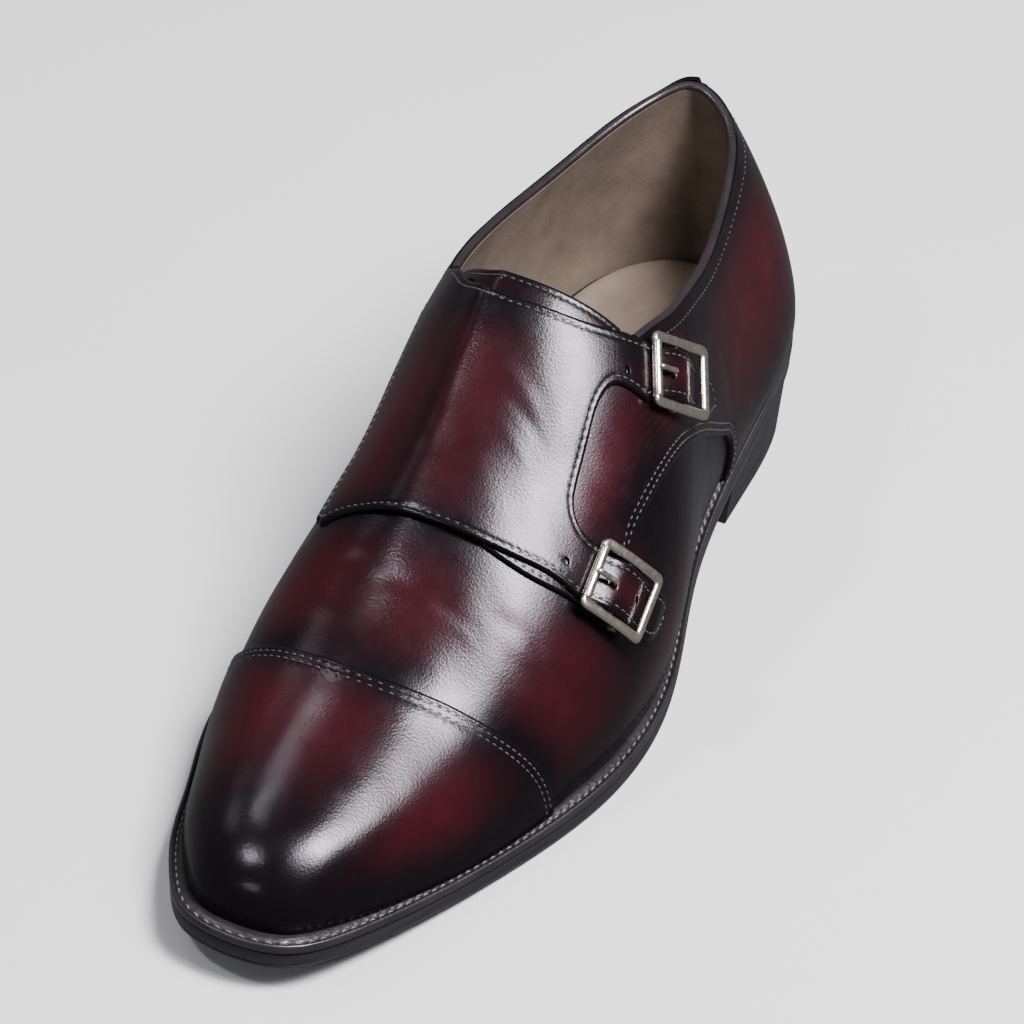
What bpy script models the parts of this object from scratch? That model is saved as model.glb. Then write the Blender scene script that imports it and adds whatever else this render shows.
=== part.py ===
"""Left double monk strap shoe, built from the shape of its last.

All lengths are in metres. +Y runs from the heel to the toe, +X is the medial
side, -X is the lateral side with the buckles, and +Z is up. The origin is on
the floor below the heel.

A place on the last is a pair of shares (u, v). u runs along the ridge line, from
the bottom of the heel over the instep to the bottom of the toe. v runs across,
from -1 at the medial edge over 0 on the ridge to 1 at the lateral edge.
"""
import math

import bmesh
import bpy
import numpy as np
from mathutils import Matrix
from mathutils.geometry import delaunay_2d_cdt

# Driving sizes of the shoe.
LAST_LENGTH = 0.2945
BALL_WIDTH = 0.1000
INSTEP_RISE = 0.0880
HEEL_HEIGHT = 0.0235
TOE_SPRING = 0.0083

# Thickness of each leather part, and the gap between two of them.
GAP = 0.00030
UPPER_WALL = 0.0018
OVERLAY = 0.0012
TONGUE = 0.0014
OUTSOLE = 0.0052
WELT = 0.0029
INSOLE = 0.0025
TOP_PIECE = 0.0060

# How far the edges stand in or out.
WELT_REACH = 0.0043
WELT_INNER = 0.0100
OUTSOLE_INSET = 0.0003
INSOLE_INSET = 0.0038
HEEL_INSET = 0.0006
HEEL_TAPER = 0.0015

# Buckles and straps.
FRAME_ACROSS = 0.0212
FRAME_ALONG = 0.0224
FRAME_BAR = 0.0023
FRAME_THICK = 0.0018
FRAME_CORNER = 0.0030
FRAME_BEVEL = 0.0004
STRAP_CLEARANCE = 0.0010
STRAP_RISE = 0.0026
CENTRE_BAR_RADIUS = 0.0008
PRONG_RADIUS = 0.00085
PRONG_HOLE = 0.0014
PRONG_HOLE_PLACE = 0.0040
BAR_SIDES = 12
HOLE_SIDES = 20

# Distance between the points of a surface, of a flat plate, of an outline and of a
# strap, and how near a point may come to an outline, as a share of the spacing.
SPACING = 0.0090
PLATE_SPACING = 0.0126
OUTLINE_STEP = 0.0070
STRAP_STEP = 0.0032
NEAREST = 0.55

# The net is joined up in millimetres, where points this near to each other are one.
MILLIMETRE = 0.001
MERGE = 0.00002

# Points round the sole, round the welt's inner edge, and round the heel and across it.
SOLE_POINTS = 92
WELT_HOLE_POINTS = 70
HEEL_POINTS = 41
BREAST_POINTS = 7

# Side view of the sole, in shares of LAST_LENGTH from the heel end of the last.
ORIGIN = 0.136
SEAT_END = 0.060
BREAST = 0.240
BALL_START = 0.537
BALL_END = 0.722
SOLE_TIP = 1.019
TOE_CURVE = 1.8

# Reach of the welt past the upper: (share of LAST_LENGTH, share of WELT_REACH).
WELT_TABLE = (
    (0.00, 0.58), (0.12, 0.51), (0.30, 0.63), (0.45, 0.56),
    (0.66, 1.02), (0.78, 0.81), (0.90, 1.00), (1.00, 1.60),
)

# Sections of the last, from heel to toe. A section joins a point on each edge of
# the foot to a point on the ridge. The columns are
#   edge    place of the edge points, share of LAST_LENGTH
#   medial  medial edge, lateral  lateral edge, shares of BALL_WIDTH
#   top     place of the ridge point, share of LAST_LENGTH
#   rise    height of the ridge above the edge, share of INSTEP_RISE
#   lean    ridge's shift to the medial side, share of BALL_WIDTH
#   wall    height up to which the side stays upright, share of the section's rise
#   medial flare, lateral flare   how far each side swells, shares of the section's size
#   medial crown, lateral crown   breadth of the rounded top, shares of the half width
LAST_TABLE = (
    (0.003, 0.010, -0.010, 0.003, 0.000, 0.010, 0.50, 0.00, 0.00, 0.40, 0.40),
    (0.011, 0.138, 0.147, -0.003, 0.138, -0.005, 0.52, 0.04, 0.04, 0.64, 0.64),
    (0.031, 0.218, 0.226, -0.002, 0.265, 0.013, 0.46, 0.06, 0.06, 0.54, 0.54),
    (0.061, 0.281, 0.289, 0.004, 0.460, 0.049, 0.40, 0.07, 0.07, 0.47, 0.47),
    (0.109, 0.337, 0.331, 0.012, 0.690, 0.093, 0.33, 0.08, 0.08, 0.38, 0.38),
    (0.177, 0.373, 0.348, 0.042, 0.875, 0.128, 0.29, 0.09, 0.09, 0.29, 0.29),
    (0.265, 0.378, 0.359, 0.129, 1.028, 0.158, 0.30, 0.15, 0.10, 0.28, 0.34),
    (0.357, 0.373, 0.396, 0.285, 1.134, 0.169, 0.38, 0.23, 0.09, 0.34, 0.60),
    (0.458, 0.382, 0.482, 0.421, 1.081, 0.143, 0.46, 0.23, 0.09, 0.42, 0.66),
    (0.560, 0.426, 0.529, 0.543, 0.871, 0.106, 0.50, 0.16, 0.10, 0.48, 0.57),
    (0.662, 0.473, 0.505, 0.655, 0.653, 0.076, 0.60, 0.07, 0.07, 0.54, 0.54),
    (0.754, 0.469, 0.436, 0.754, 0.466, 0.052, 0.65, -0.01, -0.01, 0.58, 0.58),
    (0.842, 0.393, 0.344, 0.846, 0.349, 0.041, 0.67, -0.03, -0.03, 0.62, 0.62),
    (0.917, 0.310, 0.242, 0.920, 0.264, 0.036, 0.66, -0.02, -0.02, 0.66, 0.66),
    (0.964, 0.223, 0.161, 0.968, 0.186, 0.035, 0.65, 0.00, 0.00, 0.66, 0.66),
    (0.990, 0.148, 0.091, 0.993, 0.093, 0.034, 0.59, 0.01, 0.01, 0.61, 0.61),
    (0.999, 0.040, -0.040, 0.999, 0.000, 0.040, 0.50, 0.00, 0.00, 0.40, 0.40),
)

# Outlines on the last, as (u, v).
COLLAR = (
    (0.165, 0.00), (0.175, -0.22), (0.198, -0.36), (0.250, -0.465), (0.323, -0.490),
    (0.412, -0.455), (0.442, -0.42), (0.472, -0.35), (0.503, -0.22), (0.524, 0.02),
    (0.518, 0.14), (0.505, 0.24), (0.488, 0.32), (0.472, 0.355), (0.454, 0.38),
    (0.416, 0.43), (0.370, 0.465), (0.310, 0.487), (0.254, 0.465), (0.198, 0.36), (0.175, 0.24),
)
COLLAR_MEDIAL_END = 0.442
COLLAR_LATERAL_END = 0.472
PANEL_TOP = (
    (0.454, -0.385), (0.470, -0.32), (0.494, -0.228), (0.510, -0.10), (0.515, 0.017),
    (0.510, 0.130), (0.501, 0.217), (0.487, 0.295),
)
NOTCH = (
    (0.511, 0.375), (0.518, 0.340), (0.525, 0.325), (0.535, 0.317), (0.549, 0.317),
    (0.574, 0.331), (0.602, 0.349), (0.617, 0.372), (0.623, 0.405),
)
PANEL_FRONT = (
    (0.667, 0.405), (0.674, 0.317), (0.680, 0.219), (0.683, 0.110), (0.685, 0.00),
    (0.685, -0.12), (0.684, -0.25), (0.682, -0.36), (0.680, -0.47),
)
WAIST_SEAM = (
    (0.672, -0.515), (0.645, -0.515), (0.608, -0.497), (0.541, -0.490), (0.490, -0.492),
    (0.468, -0.508), (0.453, -0.56), (0.438, -0.67), (0.428, -0.82), (0.424, -1.04),
)
QUARTER_HIDDEN = (
    (0.492, 0.27), (0.518, 0.20), (0.533, 0.10), (0.550, 0.05), (0.600, 0.05), (0.660, 0.05),
)
QUARTER_FRONT = (
    (0.672, 0.07), (0.680, 0.16), (0.682, 0.25), (0.678, 0.37), (0.668, 0.47), (0.656, 0.555),
    (0.637, 0.592), (0.614, 0.582), (0.594, 0.551), (0.568, 0.541), (0.530, 0.552),
    (0.481, 0.592), (0.439, 0.65), (0.390, 0.72), (0.335, 0.785), (0.300, 0.84), (0.285, 0.92),
    (0.280, 1.04),
)
TONGUE_TOP = (
    (0.454, -0.367), (0.473, -0.27), (0.488, -0.161), (0.494, -0.03),
    (0.492, 0.08), (0.483, 0.21), (0.472, 0.325),
)
TONGUE_FRONT = (
    (0.540, 0.31), (0.600, 0.29), (0.650, 0.20), (0.662, 0.0),
    (0.650, -0.22), (0.600, -0.33), (0.520, -0.37),
)
CAP_SEAM = (
    (0.739, -1.04), (0.758, -0.82), (0.776, -0.654), (0.787, -0.45), (0.794, -0.24),
    (0.798, -0.03), (0.797, 0.14), (0.791, 0.335), (0.783, 0.512), (0.772, 0.665),
    (0.762, 0.80), (0.753, 1.04),
)

# Where the panel's leather rises onto the lateral quarter, measured across the last.
PANEL_RAMP = (-0.022, -0.004)

# Tips of the straps, as shares of half the strap's width: back from the end, sideways.
POINTED_TIP = ((0.30, 0.35), (0.00, 0.00), (0.30, -0.35))
ROUND_TIP = ((0.25, 0.66), (0.00, 0.22), (0.00, -0.22), (0.25, -0.66))

# Buckles: name, place on the last as (u, v), turn from straight across in degrees,
# length of the strap past the buckle's centre, how far its end drifts to the heel,
# the tip's shape, half the strap's width on the heel and toe sides where it enters
# the buckle, and how far the frame's far bar stands off the strap.
BUCKLES = (
    ("upper", (0.459, 0.480), -43.5, 0.0285, 0.0060, POINTED_TIP, (0.0082, 0.0082), 0.0020),
    ("lower", (0.629, 0.573), -22.5, 0.0225, 0.0035, ROUND_TIP, (0.0084, 0.0073), 0.0004),
)
# Place along the lower strap from which it sinks onto the upper.
STRAP_END_DROP = 0.0150


def spline(knots, rows, closed=False):
    """Smooth curve through rows of numbers, returned as a function of the knot value."""
    knots = np.asarray(knots, float)
    rows = np.asarray(rows, float)
    last = len(knots) - 1
    step = np.diff(knots)
    slope = np.diff(rows, axis=0) / step[:, None]
    matrix = np.zeros((last + 1, last + 1))
    right = np.zeros((last + 1, rows.shape[1]))
    for i in range(1, last):
        matrix[i, i - 1:i + 2] = step[i - 1], 2 * (step[i - 1] + step[i]), step[i]
        right[i] = 6 * (slope[i] - slope[i - 1])
    matrix[0, 0] = 1
    matrix[last, last] = 1
    if closed:
        matrix[0, [0, 1, last - 1]] = 2 * (step[0] + step[-1]), step[0], step[-1]
        right[0] = 6 * (slope[0] - slope[-1])
        matrix[last, 0] = -1
    bend = np.linalg.solve(matrix, right)

    def curve(value):
        value = np.asarray(value, float)
        k = np.clip(np.searchsorted(knots, value, side="right") - 1, 0, last - 1)
        before = (value - knots[k])[..., None]
        after = (knots[k + 1] - value)[..., None]
        width = step[k][..., None]
        cubic = (bend[k] * after ** 3 + bend[k + 1] * before ** 3) / (6 * width)
        line = (rows[k] / width - bend[k] * width / 6) * after
        return cubic + line + (rows[k + 1] / width - bend[k + 1] * width / 6) * before

    return curve


def chord_knots(points):
    """Distance along a row of points, from the first to each one."""
    steps = np.linalg.norm(np.diff(points, axis=0), axis=1)
    return np.concatenate([[0.0], np.cumsum(steps)])


def smooth(points, step, closed=False):
    """Points about one step apart on a smooth curve through the given ones."""
    points = np.asarray(points, float)
    if closed:
        points = np.vstack([points, points[:1]])
    knots = chord_knots(points)
    count = max(2, int(round(knots[-1] / step)))
    places = np.linspace(0, knots[-1], count + 1)
    drawn = spline(knots, points, closed)(places)
    return drawn[:-1] if closed else drawn


def inside(points, polygon):
    """Whether each point lies in a closed polygon."""
    x = points[:, 0][:, None]
    y = points[:, 1][:, None]
    x0, y0 = polygon[:, 0], polygon[:, 1]
    x1, y1 = np.roll(x0, -1), np.roll(y0, -1)
    spans = (y0 > y) != (y1 > y)
    rise = np.where(y1 == y0, 1.0, y1 - y0)
    return (spans & (x < x0 + (y - y0) * (x1 - x0) / rise)).sum(axis=1) % 2 == 1


def distance_to(points, starts, ends):
    """Distance from each point to the nearest of the given segments."""
    along = ends - starts
    size = np.maximum((along ** 2).sum(axis=1), 1e-18)
    share = ((points[:, None] - starts) * along).sum(axis=2) / size
    nearest = starts + np.clip(share, 0, 1)[..., None] * along
    return np.linalg.norm(points[:, None] - nearest, axis=2).min(axis=1)


def ease(value):
    """Soft step from 0 to 1."""
    value = np.clip(value, 0, 1)
    return value * value * (3 - 2 * value)


def underside(y):
    """Height of the outsole's underside, y from the heel end of the last."""
    share = np.asarray(y, float) / LAST_LENGTH
    fall = ease((share - SEAT_END) / (BALL_START - SEAT_END))
    toe = np.clip((share - BALL_END) / (SOLE_TIP - BALL_END), 0, None)
    return HEEL_HEIGHT * (1 - fall) + TOE_SPRING * toe ** TOE_CURVE


def edge_height(y):
    """Height of the upper's bottom edge, above the outsole and the welt."""
    return underside(y) + OUTSOLE + GAP + WELT + GAP


class Last:
    """The form that the upper is pulled over."""

    def __init__(self):
        table = np.array(LAST_TABLE)
        edge, medial, lateral, top, rise, lean = table[:, :6].T
        rows = len(table)
        medial_edge = np.stack([medial * BALL_WIDTH, edge * LAST_LENGTH], axis=1)
        lateral_edge = np.stack([-lateral * BALL_WIDTH, edge * LAST_LENGTH], axis=1)
        loop = np.vstack([medial_edge, lateral_edge[::-1][1:-1], medial_edge[:1]])
        knots = chord_knots(loop)
        self.loop_length = knots[-1]
        self.loop = spline(knots, loop, closed=True)
        height = edge_height(top * LAST_LENGTH) + rise * INSTEP_RISE
        ridge = np.stack([lean * BALL_WIDTH, top * LAST_LENGTH, height], axis=1)
        ridge_knots = chord_knots(ridge)
        self.ridge_length = ridge_knots[-1]
        share = ridge_knots / self.ridge_length
        self.ridge = spline(share, ridge)
        self.medial_place = spline(share, knots[:rows, None])
        self.lateral_place = spline(share, knots[rows - 1:][::-1][:, None])
        self.handles = spline(share, table[:, 6:])
        self.shares = np.linspace(0, 1, 241)
        self.medial_girth = self.measure(-1)
        self.lateral_girth = self.measure(1)

    def measure(self, side):
        """Length over the surface from the ridge to one edge, at each of the shares."""
        across = np.linspace(0, side, 41)
        points = self.surface(self.shares[:, None], across[None, :])
        return np.linalg.norm(np.diff(points, axis=1), axis=2).sum(axis=1)

    def edge(self, place):
        """Point of the bottom edge at a place along its loop."""
        point = self.loop(np.mod(place, self.loop_length))
        return np.concatenate([point, edge_height(point[..., 1:2])], axis=-1)

    def outward(self, place):
        """Level direction that points out of the bottom edge."""
        reach = 0.0005
        ahead = self.loop(np.mod(place + reach, self.loop_length))
        behind = self.loop(np.mod(place - reach, self.loop_length))
        along = ahead - behind
        along /= np.linalg.norm(along, axis=-1, keepdims=True)
        return np.stack([along[..., 1], -along[..., 0], np.zeros(along.shape[:-1])], axis=-1)

    def place(self, u, v):
        """Place along the bottom edge's loop at which the section of (u, v) ends."""
        return np.where(v < 0, self.medial_place(u)[..., 0], self.lateral_place(u)[..., 0])

    def surface(self, u, v):
        """Point of the last's surface."""
        u, v = np.broadcast_arrays(np.asarray(u, float), np.asarray(v, float))
        place = self.place(u, v)
        foot = self.edge(place)
        top = self.ridge(u)
        wall, *sides = np.moveaxis(self.handles(u), -1, 0)
        flare = np.where(v < 0, sides[0], sides[1])
        crown = np.where(v < 0, sides[2], sides[3])
        size = np.linalg.norm(top - foot, axis=-1)
        low = foot + self.outward(place) * (flare * size)[..., None]
        low[..., 2] += wall * (top[..., 2] - foot[..., 2])
        high = top.copy()
        high[..., 0] += crown * (foot[..., 0] - top[..., 0])
        near = np.abs(v)[..., None]
        far = 1 - near
        return (near ** 3 * foot + 3 * near ** 2 * far * low
                + 3 * near * far ** 2 * high + far ** 3 * top)

    def normal(self, u, v):
        """Direction out of the surface, level along the bottom edge."""
        u, v = np.broadcast_arrays(np.asarray(u, float), np.asarray(v, float))
        step = 0.002
        u_in = np.clip(u, 2 * step, 1 - 2 * step)
        v_in = np.clip(v, -1 + step, 1 - step)
        along = self.surface(u_in + step, v_in) - self.surface(u_in - step, v_in)
        across = self.surface(u_in, v_in + step) - self.surface(u_in, v_in - step)
        out = np.cross(along, across)
        out /= np.linalg.norm(out, axis=-1, keepdims=True)
        level = self.outward(self.place(u, v))
        return np.where(np.abs(v)[..., None] > 0.9999, level, out)

    def girth(self, a, b):
        """Length over the surface from the ridge to the edge on b's side."""
        share = np.asarray(a, float) / self.ridge_length
        medial = np.interp(share, self.shares, self.medial_girth)
        lateral = np.interp(share, self.shares, self.lateral_girth)
        return np.where(np.asarray(b, float) < 0, medial, lateral)

    def flatten(self, outline):
        """Turn (u, v) pairs into lengths along and across the last."""
        outline = np.asarray(outline, float)
        a = outline[:, 0] * self.ridge_length
        return np.stack([a, outline[:, 1] * self.girth(a, outline[:, 1])], axis=1)

    def shares_at(self, flat):
        """Turn lengths along and across the last back into u and v."""
        flat = np.asarray(flat, float)
        u = np.clip(flat[..., 0] / self.ridge_length, 0, 1)
        v = np.clip(flat[..., 1] / self.girth(flat[..., 0], flat[..., 1]), -1, 1)
        return u, v

    def at(self, flat, lift=0.0):
        """Point at a height over the surface, from lengths along and across."""
        u, v = self.shares_at(flat)
        return self.surface(u, v) + self.normal(u, v) * np.asarray(lift, float)[..., None]

    def edge_loop(self, step):
        """The bottom edge in lengths along and across, medial side first."""
        count = int(round(self.loop_length / step))
        places = np.linspace(0, self.loop_length, count, endpoint=False)
        fine = np.linspace(0, 1, 2001)
        toe = self.medial_place(1.0)[0]
        medial = np.interp(places, self.medial_place(fine)[:, 0], fine)
        lateral = np.interp(places, self.lateral_place(fine)[::-1, 0], fine[::-1])
        side = np.where(places <= toe, -1.0, 1.0)
        return self.flatten(np.stack([np.where(places <= toe, medial, lateral), side], axis=1))

    def outline(self, reach, count=SOLE_POINTS):
        """Plan outline, a table or a constant reach out from the bottom edge."""
        places = np.linspace(0, self.loop_length, count, endpoint=False)
        points = self.loop(places)
        return points + self.outward(places)[:, :2] * np.asarray(reach(points[:, 1]))[..., None]


class Buckle:
    """Axes and heights of one buckle, on the surface of the last."""

    def __init__(self, last, name, place, turn, reach, drift, tip, entry, far_gap):
        self.name, self.reach, self.drift, self.tip = name, reach, drift, tip
        self.entry, self.far_gap = entry, far_gap
        self.centre = last.flatten([place])[0]
        self.origin = last.at(self.centre)
        step = 0.001
        along = last.at(self.centre + (step, 0)) - last.at(self.centre - (step, 0))
        across = last.at(self.centre + (0, step)) - last.at(self.centre - (0, step))
        up = np.cross(along, across)
        self.up = up / np.linalg.norm(up)
        toeward = np.array([0.0, 1.0, 0.0]) - self.up[1] * self.up
        toeward /= np.linalg.norm(toeward)
        angle = math.radians(turn)
        self.strap = np.cross(self.up, toeward) * math.cos(angle) + toeward * math.sin(angle)
        self.side = np.cross(self.up, self.strap)
        flat = np.stack([along, across], axis=1) / (2 * step)
        self.to_strap = np.array([self.strap @ flat, self.side @ flat])
        self.to_flat = np.linalg.inv(self.to_strap)
        self.last = last

    def lay(self, points):
        """Turn lengths along and across the strap into lengths on the last."""
        return self.centre + np.asarray(points, float) @ self.to_flat.T

    def read(self, flat):
        """Turn lengths on the last into lengths along and across the strap."""
        return (flat - self.centre) @ self.to_strap.T

    def height(self, along, across):
        """Height of the last's surface over the plane through the buckle's centre."""
        return (self.last.at(self.lay((along, across))) - self.origin) @ self.up

    def outline(self):
        """The strap's edge, from the side of the heel round its tip."""
        half = FRAME_ACROSS / 2 - FRAME_BAR - STRAP_CLEARANCE
        start = -FRAME_ALONG / 2
        shoulder = self.reach - half
        tip = [(self.reach - back * half, side * half) for back, side in self.tip]
        stations = int(round((shoulder - start) / STRAP_STEP))
        along = np.linspace(start, shoulder, stations + 1)[1:]
        upper = [(start, self.entry[0])] + [(value, half) for value in along]
        lower = [(value, -half) for value in along[::-1]] + [(start, -self.entry[1])]
        points = np.array(upper + tip + lower)
        points[:, 1] += self.drift * np.clip(points[:, 0] / self.reach, 0, 1) ** 2
        return self.lay(points)

    def rows(self):
        """Points across the strap, where it climbs over the centre bar."""
        half = FRAME_ACROSS / 2 - FRAME_BAR - STRAP_CLEARANCE
        along = np.arange(-3, 4) * STRAP_STEP
        return self.lay([(value, side) for value in along for side in (-half / 2, 0, half / 2)])

    def hump(self, flat):
        """Height that the strap gains over the centre bar."""
        along, across = self.read(flat).T
        reach = FRAME_ALONG / 2 - FRAME_BAR
        near = (np.abs(along) < reach) & (np.abs(across) < FRAME_ACROSS / 2)
        return np.where(near, STRAP_RISE * np.cos(along / reach * math.pi / 2) ** 2, 0)

    def matrix(self):
        """Placement of an object that is drawn in the buckle's own axes."""
        columns = np.stack([self.strap, self.side, self.up], axis=1)
        place = Matrix([list(row) + [0.0] for row in columns] + [[0, 0, 0, 1]])
        place.translation = on_floor(self.origin)
        return place


def on_floor(points):
    """Move points from the last's own axes to the part's."""
    moved = np.array(points, float)
    moved[..., 1] -= ORIGIN * LAST_LENGTH
    return moved


def triangulate(points, edges):
    """Triangles over all points, with the edges kept, as (points, triangles)."""
    flat = [tuple(value / MILLIMETRE for value in point) for point in points]
    found = delaunay_2d_cdt(flat, edges, [], 0, MERGE / MILLIMETRE)
    placed = np.array([tuple(point) for point in found[0]]) * MILLIMETRE
    faces = np.array(found[2])
    side = placed[faces[:, 1]] - placed[faces[:, 0]]
    other = placed[faces[:, 2]] - placed[faces[:, 0]]
    turned = side[:, 0] * other[:, 1] - side[:, 1] * other[:, 0] < 0
    faces[turned] = faces[turned][:, ::-1]
    return placed, faces


def grid_points(low, high, spacing):
    """Points in rows that are offset by half a step, over a rectangle."""
    rows = np.arange(low[1], high[1], spacing * math.sqrt(0.75))
    columns = np.arange(low[0], high[0], spacing)
    return np.array([(x + spacing / 2 * (i % 2), y) for i, y in enumerate(rows) for x in columns])


class Net:
    """One net of triangles over the last, which every piece of leather shares."""

    def __init__(self, last, buckles):
        self.last, self.buckles = last, buckles
        self.edge = last.edge_loop(OUTLINE_STEP)
        self.collar = smooth(last.flatten(COLLAR), OUTLINE_STEP, closed=True)
        u = self.collar[:, 0] / last.ridge_length
        medial = self.collar[:, 1] < 0
        split = np.argmax(self.collar[:, 0])
        self.medial_collar = [
            i for i in range(split) if u[i] <= COLLAR_MEDIAL_END and (medial[i] or i == 0)
        ]
        self.lateral_collar = [i for i in range(split, len(u)) if u[i] <= COLLAR_LATERAL_END]
        back = self.collar[0]
        self.back_seam = smooth([(0.0, 0.0), (back[0] / 2, 0.0), back], OUTLINE_STEP)
        self.cap_seam = smooth(last.flatten(CAP_SEAM), OUTLINE_STEP)
        self.draw_medial_quarter()
        self.draw_lateral_quarter()
        self.tongue = np.vstack([
            smooth(last.flatten(TONGUE_TOP), OUTLINE_STEP),
            smooth(last.flatten(TONGUE_FRONT), OUTLINE_STEP),
        ])
        self.join()

    def frame(self, side):
        """Corners far outside the last, from one side of the waist round the heel."""
        wide = 2 * self.last.lateral_girth.max()
        behind = -wide
        waist = WAIST_SEAM[-1][0] if side < 0 else QUARTER_FRONT[-1][0]
        waist *= self.last.ridge_length
        return np.array([(waist, side * wide), (behind, side * wide), (behind, 0.0)])

    def draw_medial_quarter(self):
        """The medial quarter runs over the instep and ends in the two straps."""
        last = self.last
        collar = self.collar[self.medial_collar]
        straps = [buckle.outline() for buckle in self.buckles]
        top = smooth(np.vstack([collar[-1:], last.flatten(PANEL_TOP), straps[0][:1]]), OUTLINE_STEP)
        notch = smooth(np.vstack([straps[0][-1:], last.flatten(NOTCH), straps[1][:1]]), STRAP_STEP)
        front = smooth(np.vstack([straps[1][-1:], last.flatten(PANEL_FRONT)]), OUTLINE_STEP)
        waist = smooth(last.flatten(WAIST_SEAM), OUTLINE_STEP)
        self.medial_line = np.vstack([top[:-1], straps[0], notch[1:-1], straps[1], front[1:], waist])
        self.medial_quarter = np.vstack([
            self.back_seam[:-1], collar[:-1], self.medial_line, self.frame(-1),
        ])

    def draw_lateral_quarter(self):
        """The lateral quarter lies under the panel and the straps."""
        last = self.last
        collar = self.collar[self.lateral_collar]
        hidden = smooth(np.vstack([collar[:1], last.flatten(QUARTER_HIDDEN)]), OUTLINE_STEP)
        front = smooth(last.flatten(QUARTER_FRONT), OUTLINE_STEP)
        self.lateral_line = np.vstack([hidden, front])
        self.lateral_quarter = np.vstack([
            self.lateral_line, self.frame(1), self.back_seam[:-1], self.collar[:1], collar[::-1],
        ])

    def join(self):
        """Lay the outlines and the points between them into one net."""
        closed = [self.edge, self.collar, self.tongue]
        opened = [self.back_seam, self.cap_seam, self.medial_line, self.lateral_line]
        points = []
        edges = []
        for line in closed + opened:
            start = sum(len(done) for done in points)
            count = len(line)
            edges += [(start + i, start + i + 1) for i in range(count - 1)]
            if any(line is one for one in closed):
                edges.append((start + count - 1, start))
            points.append(line)
        outline = np.vstack(points)
        starts = outline[[edge[0] for edge in edges]]
        ends = outline[[edge[1] for edge in edges]]
        across = self.last.lateral_girth.max()
        inner = grid_points((0.0, -across), (self.last.ridge_length, across), SPACING)
        rows = np.vstack([buckle.rows() for buckle in self.buckles])
        inner = inner[inside(inner, self.edge)]
        inner = inner[distance_to(inner, starts, ends) > NEAREST * SPACING]
        inner = inner[distance_to(inner, rows, rows) > NEAREST * SPACING]
        covered = inside(inner, self.tongue) | inside(inner, self.medial_quarter)
        inner = inner[covered | ~inside(inner, self.collar)]
        self.flat, faces = triangulate(np.vstack([outline, rows, inner]), edges)
        self.faces = faces[inside(self.centres(faces), self.edge)]
        self.u, self.v = self.last.shares_at(self.flat)
        left_over = self.last.girth(self.flat[:, 0], self.flat[:, 1]) - np.abs(self.flat[:, 1])
        on_edge = left_over < 2 * GAP
        self.v[on_edge] = np.where(self.flat[on_edge, 1] < 0, -1.0, 1.0)
        self.base = self.last.surface(self.u, self.v)
        self.up = self.last.normal(self.u, self.v)

    def centres(self, faces):
        """Middle of each triangle."""
        return self.flat[faces].mean(axis=1)

    def within(self, polygon):
        """Triangles whose middle lies in a closed outline."""
        return self.faces[inside(self.centres(self.faces), polygon)]

    def outside(self, polygon):
        """Triangles whose middle lies out of a closed outline."""
        return self.faces[~inside(self.centres(self.faces), polygon)]

    def lifted(self, lift):
        """All points of the net at their heights over the last, cut off level above the welt."""
        points = self.base + self.up * np.broadcast_to(lift, self.u.shape)[:, None]
        cut = np.abs(self.v) == 1
        points[cut, 2] = edge_height(points[cut, 1])
        return points


def close_layer(faces, low, high):
    """Join a lower and an upper copy of some triangles by a wall round their edges."""
    used = np.unique(faces)
    number = {index: i for i, index in enumerate(used)}
    count = len(used)
    top = [[number[index] + count for index in face] for face in faces]
    bottom = [[number[index] for index in face[::-1]] for face in faces]
    sides = {(face[i], face[(i + 1) % 3]) for face in faces for i in range(3)}
    rim = sorted(side for side in sides if side[::-1] not in sides)
    wall = [(number[b] + count, number[a] + count, number[a], number[b]) for a, b in rim]
    return np.vstack([low[used], high[used]]), top + bottom + wall


def make_object(name, points, faces, material, collection):
    """Turn points and faces into an object of the part."""
    mesh = bpy.data.meshes.new(name)
    corners = [tuple(int(i) for i in face) for face in faces]
    mesh.from_pydata([tuple(point) for point in points], [], corners)
    mesh.materials.append(material)
    frame = bmesh.new()
    frame.from_mesh(mesh)
    bmesh.ops.triangulate(frame, faces=frame.faces)
    frame.to_mesh(mesh)
    frame.free()
    piece = bpy.data.objects.new(name, mesh)
    collection.objects.link(piece)
    mesh.shade_smooth()
    mesh.set_sharp_from_angle(angle=math.radians(40))
    return piece


def make_material(name, colour, roughness, metallic=0.0):
    """Principled material with one colour."""
    material = bpy.data.materials.new(name)
    material.use_nodes = True
    shader = material.node_tree.nodes["Principled BSDF"]
    shader.inputs["Base Color"].default_value = (*colour, 1.0)
    shader.inputs["Roughness"].default_value = roughness
    shader.inputs["Metallic"].default_value = metallic
    return material


def make_layer(name, net, faces, low, high, material, collection, shift=0.0):
    """One piece of leather over the last."""
    seam = (np.abs(net.flat[:, 1]) < 1e-6) & (net.flat[:, 0] < net.collar[0, 0] + 1e-6)
    move = np.zeros((len(net.flat), 3))
    move[seam, 0] = shift
    points, joined = close_layer(faces, net.lifted(low) + move, net.lifted(high) + move)
    return make_object(name, on_floor(points), joined, material, collection)


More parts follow.
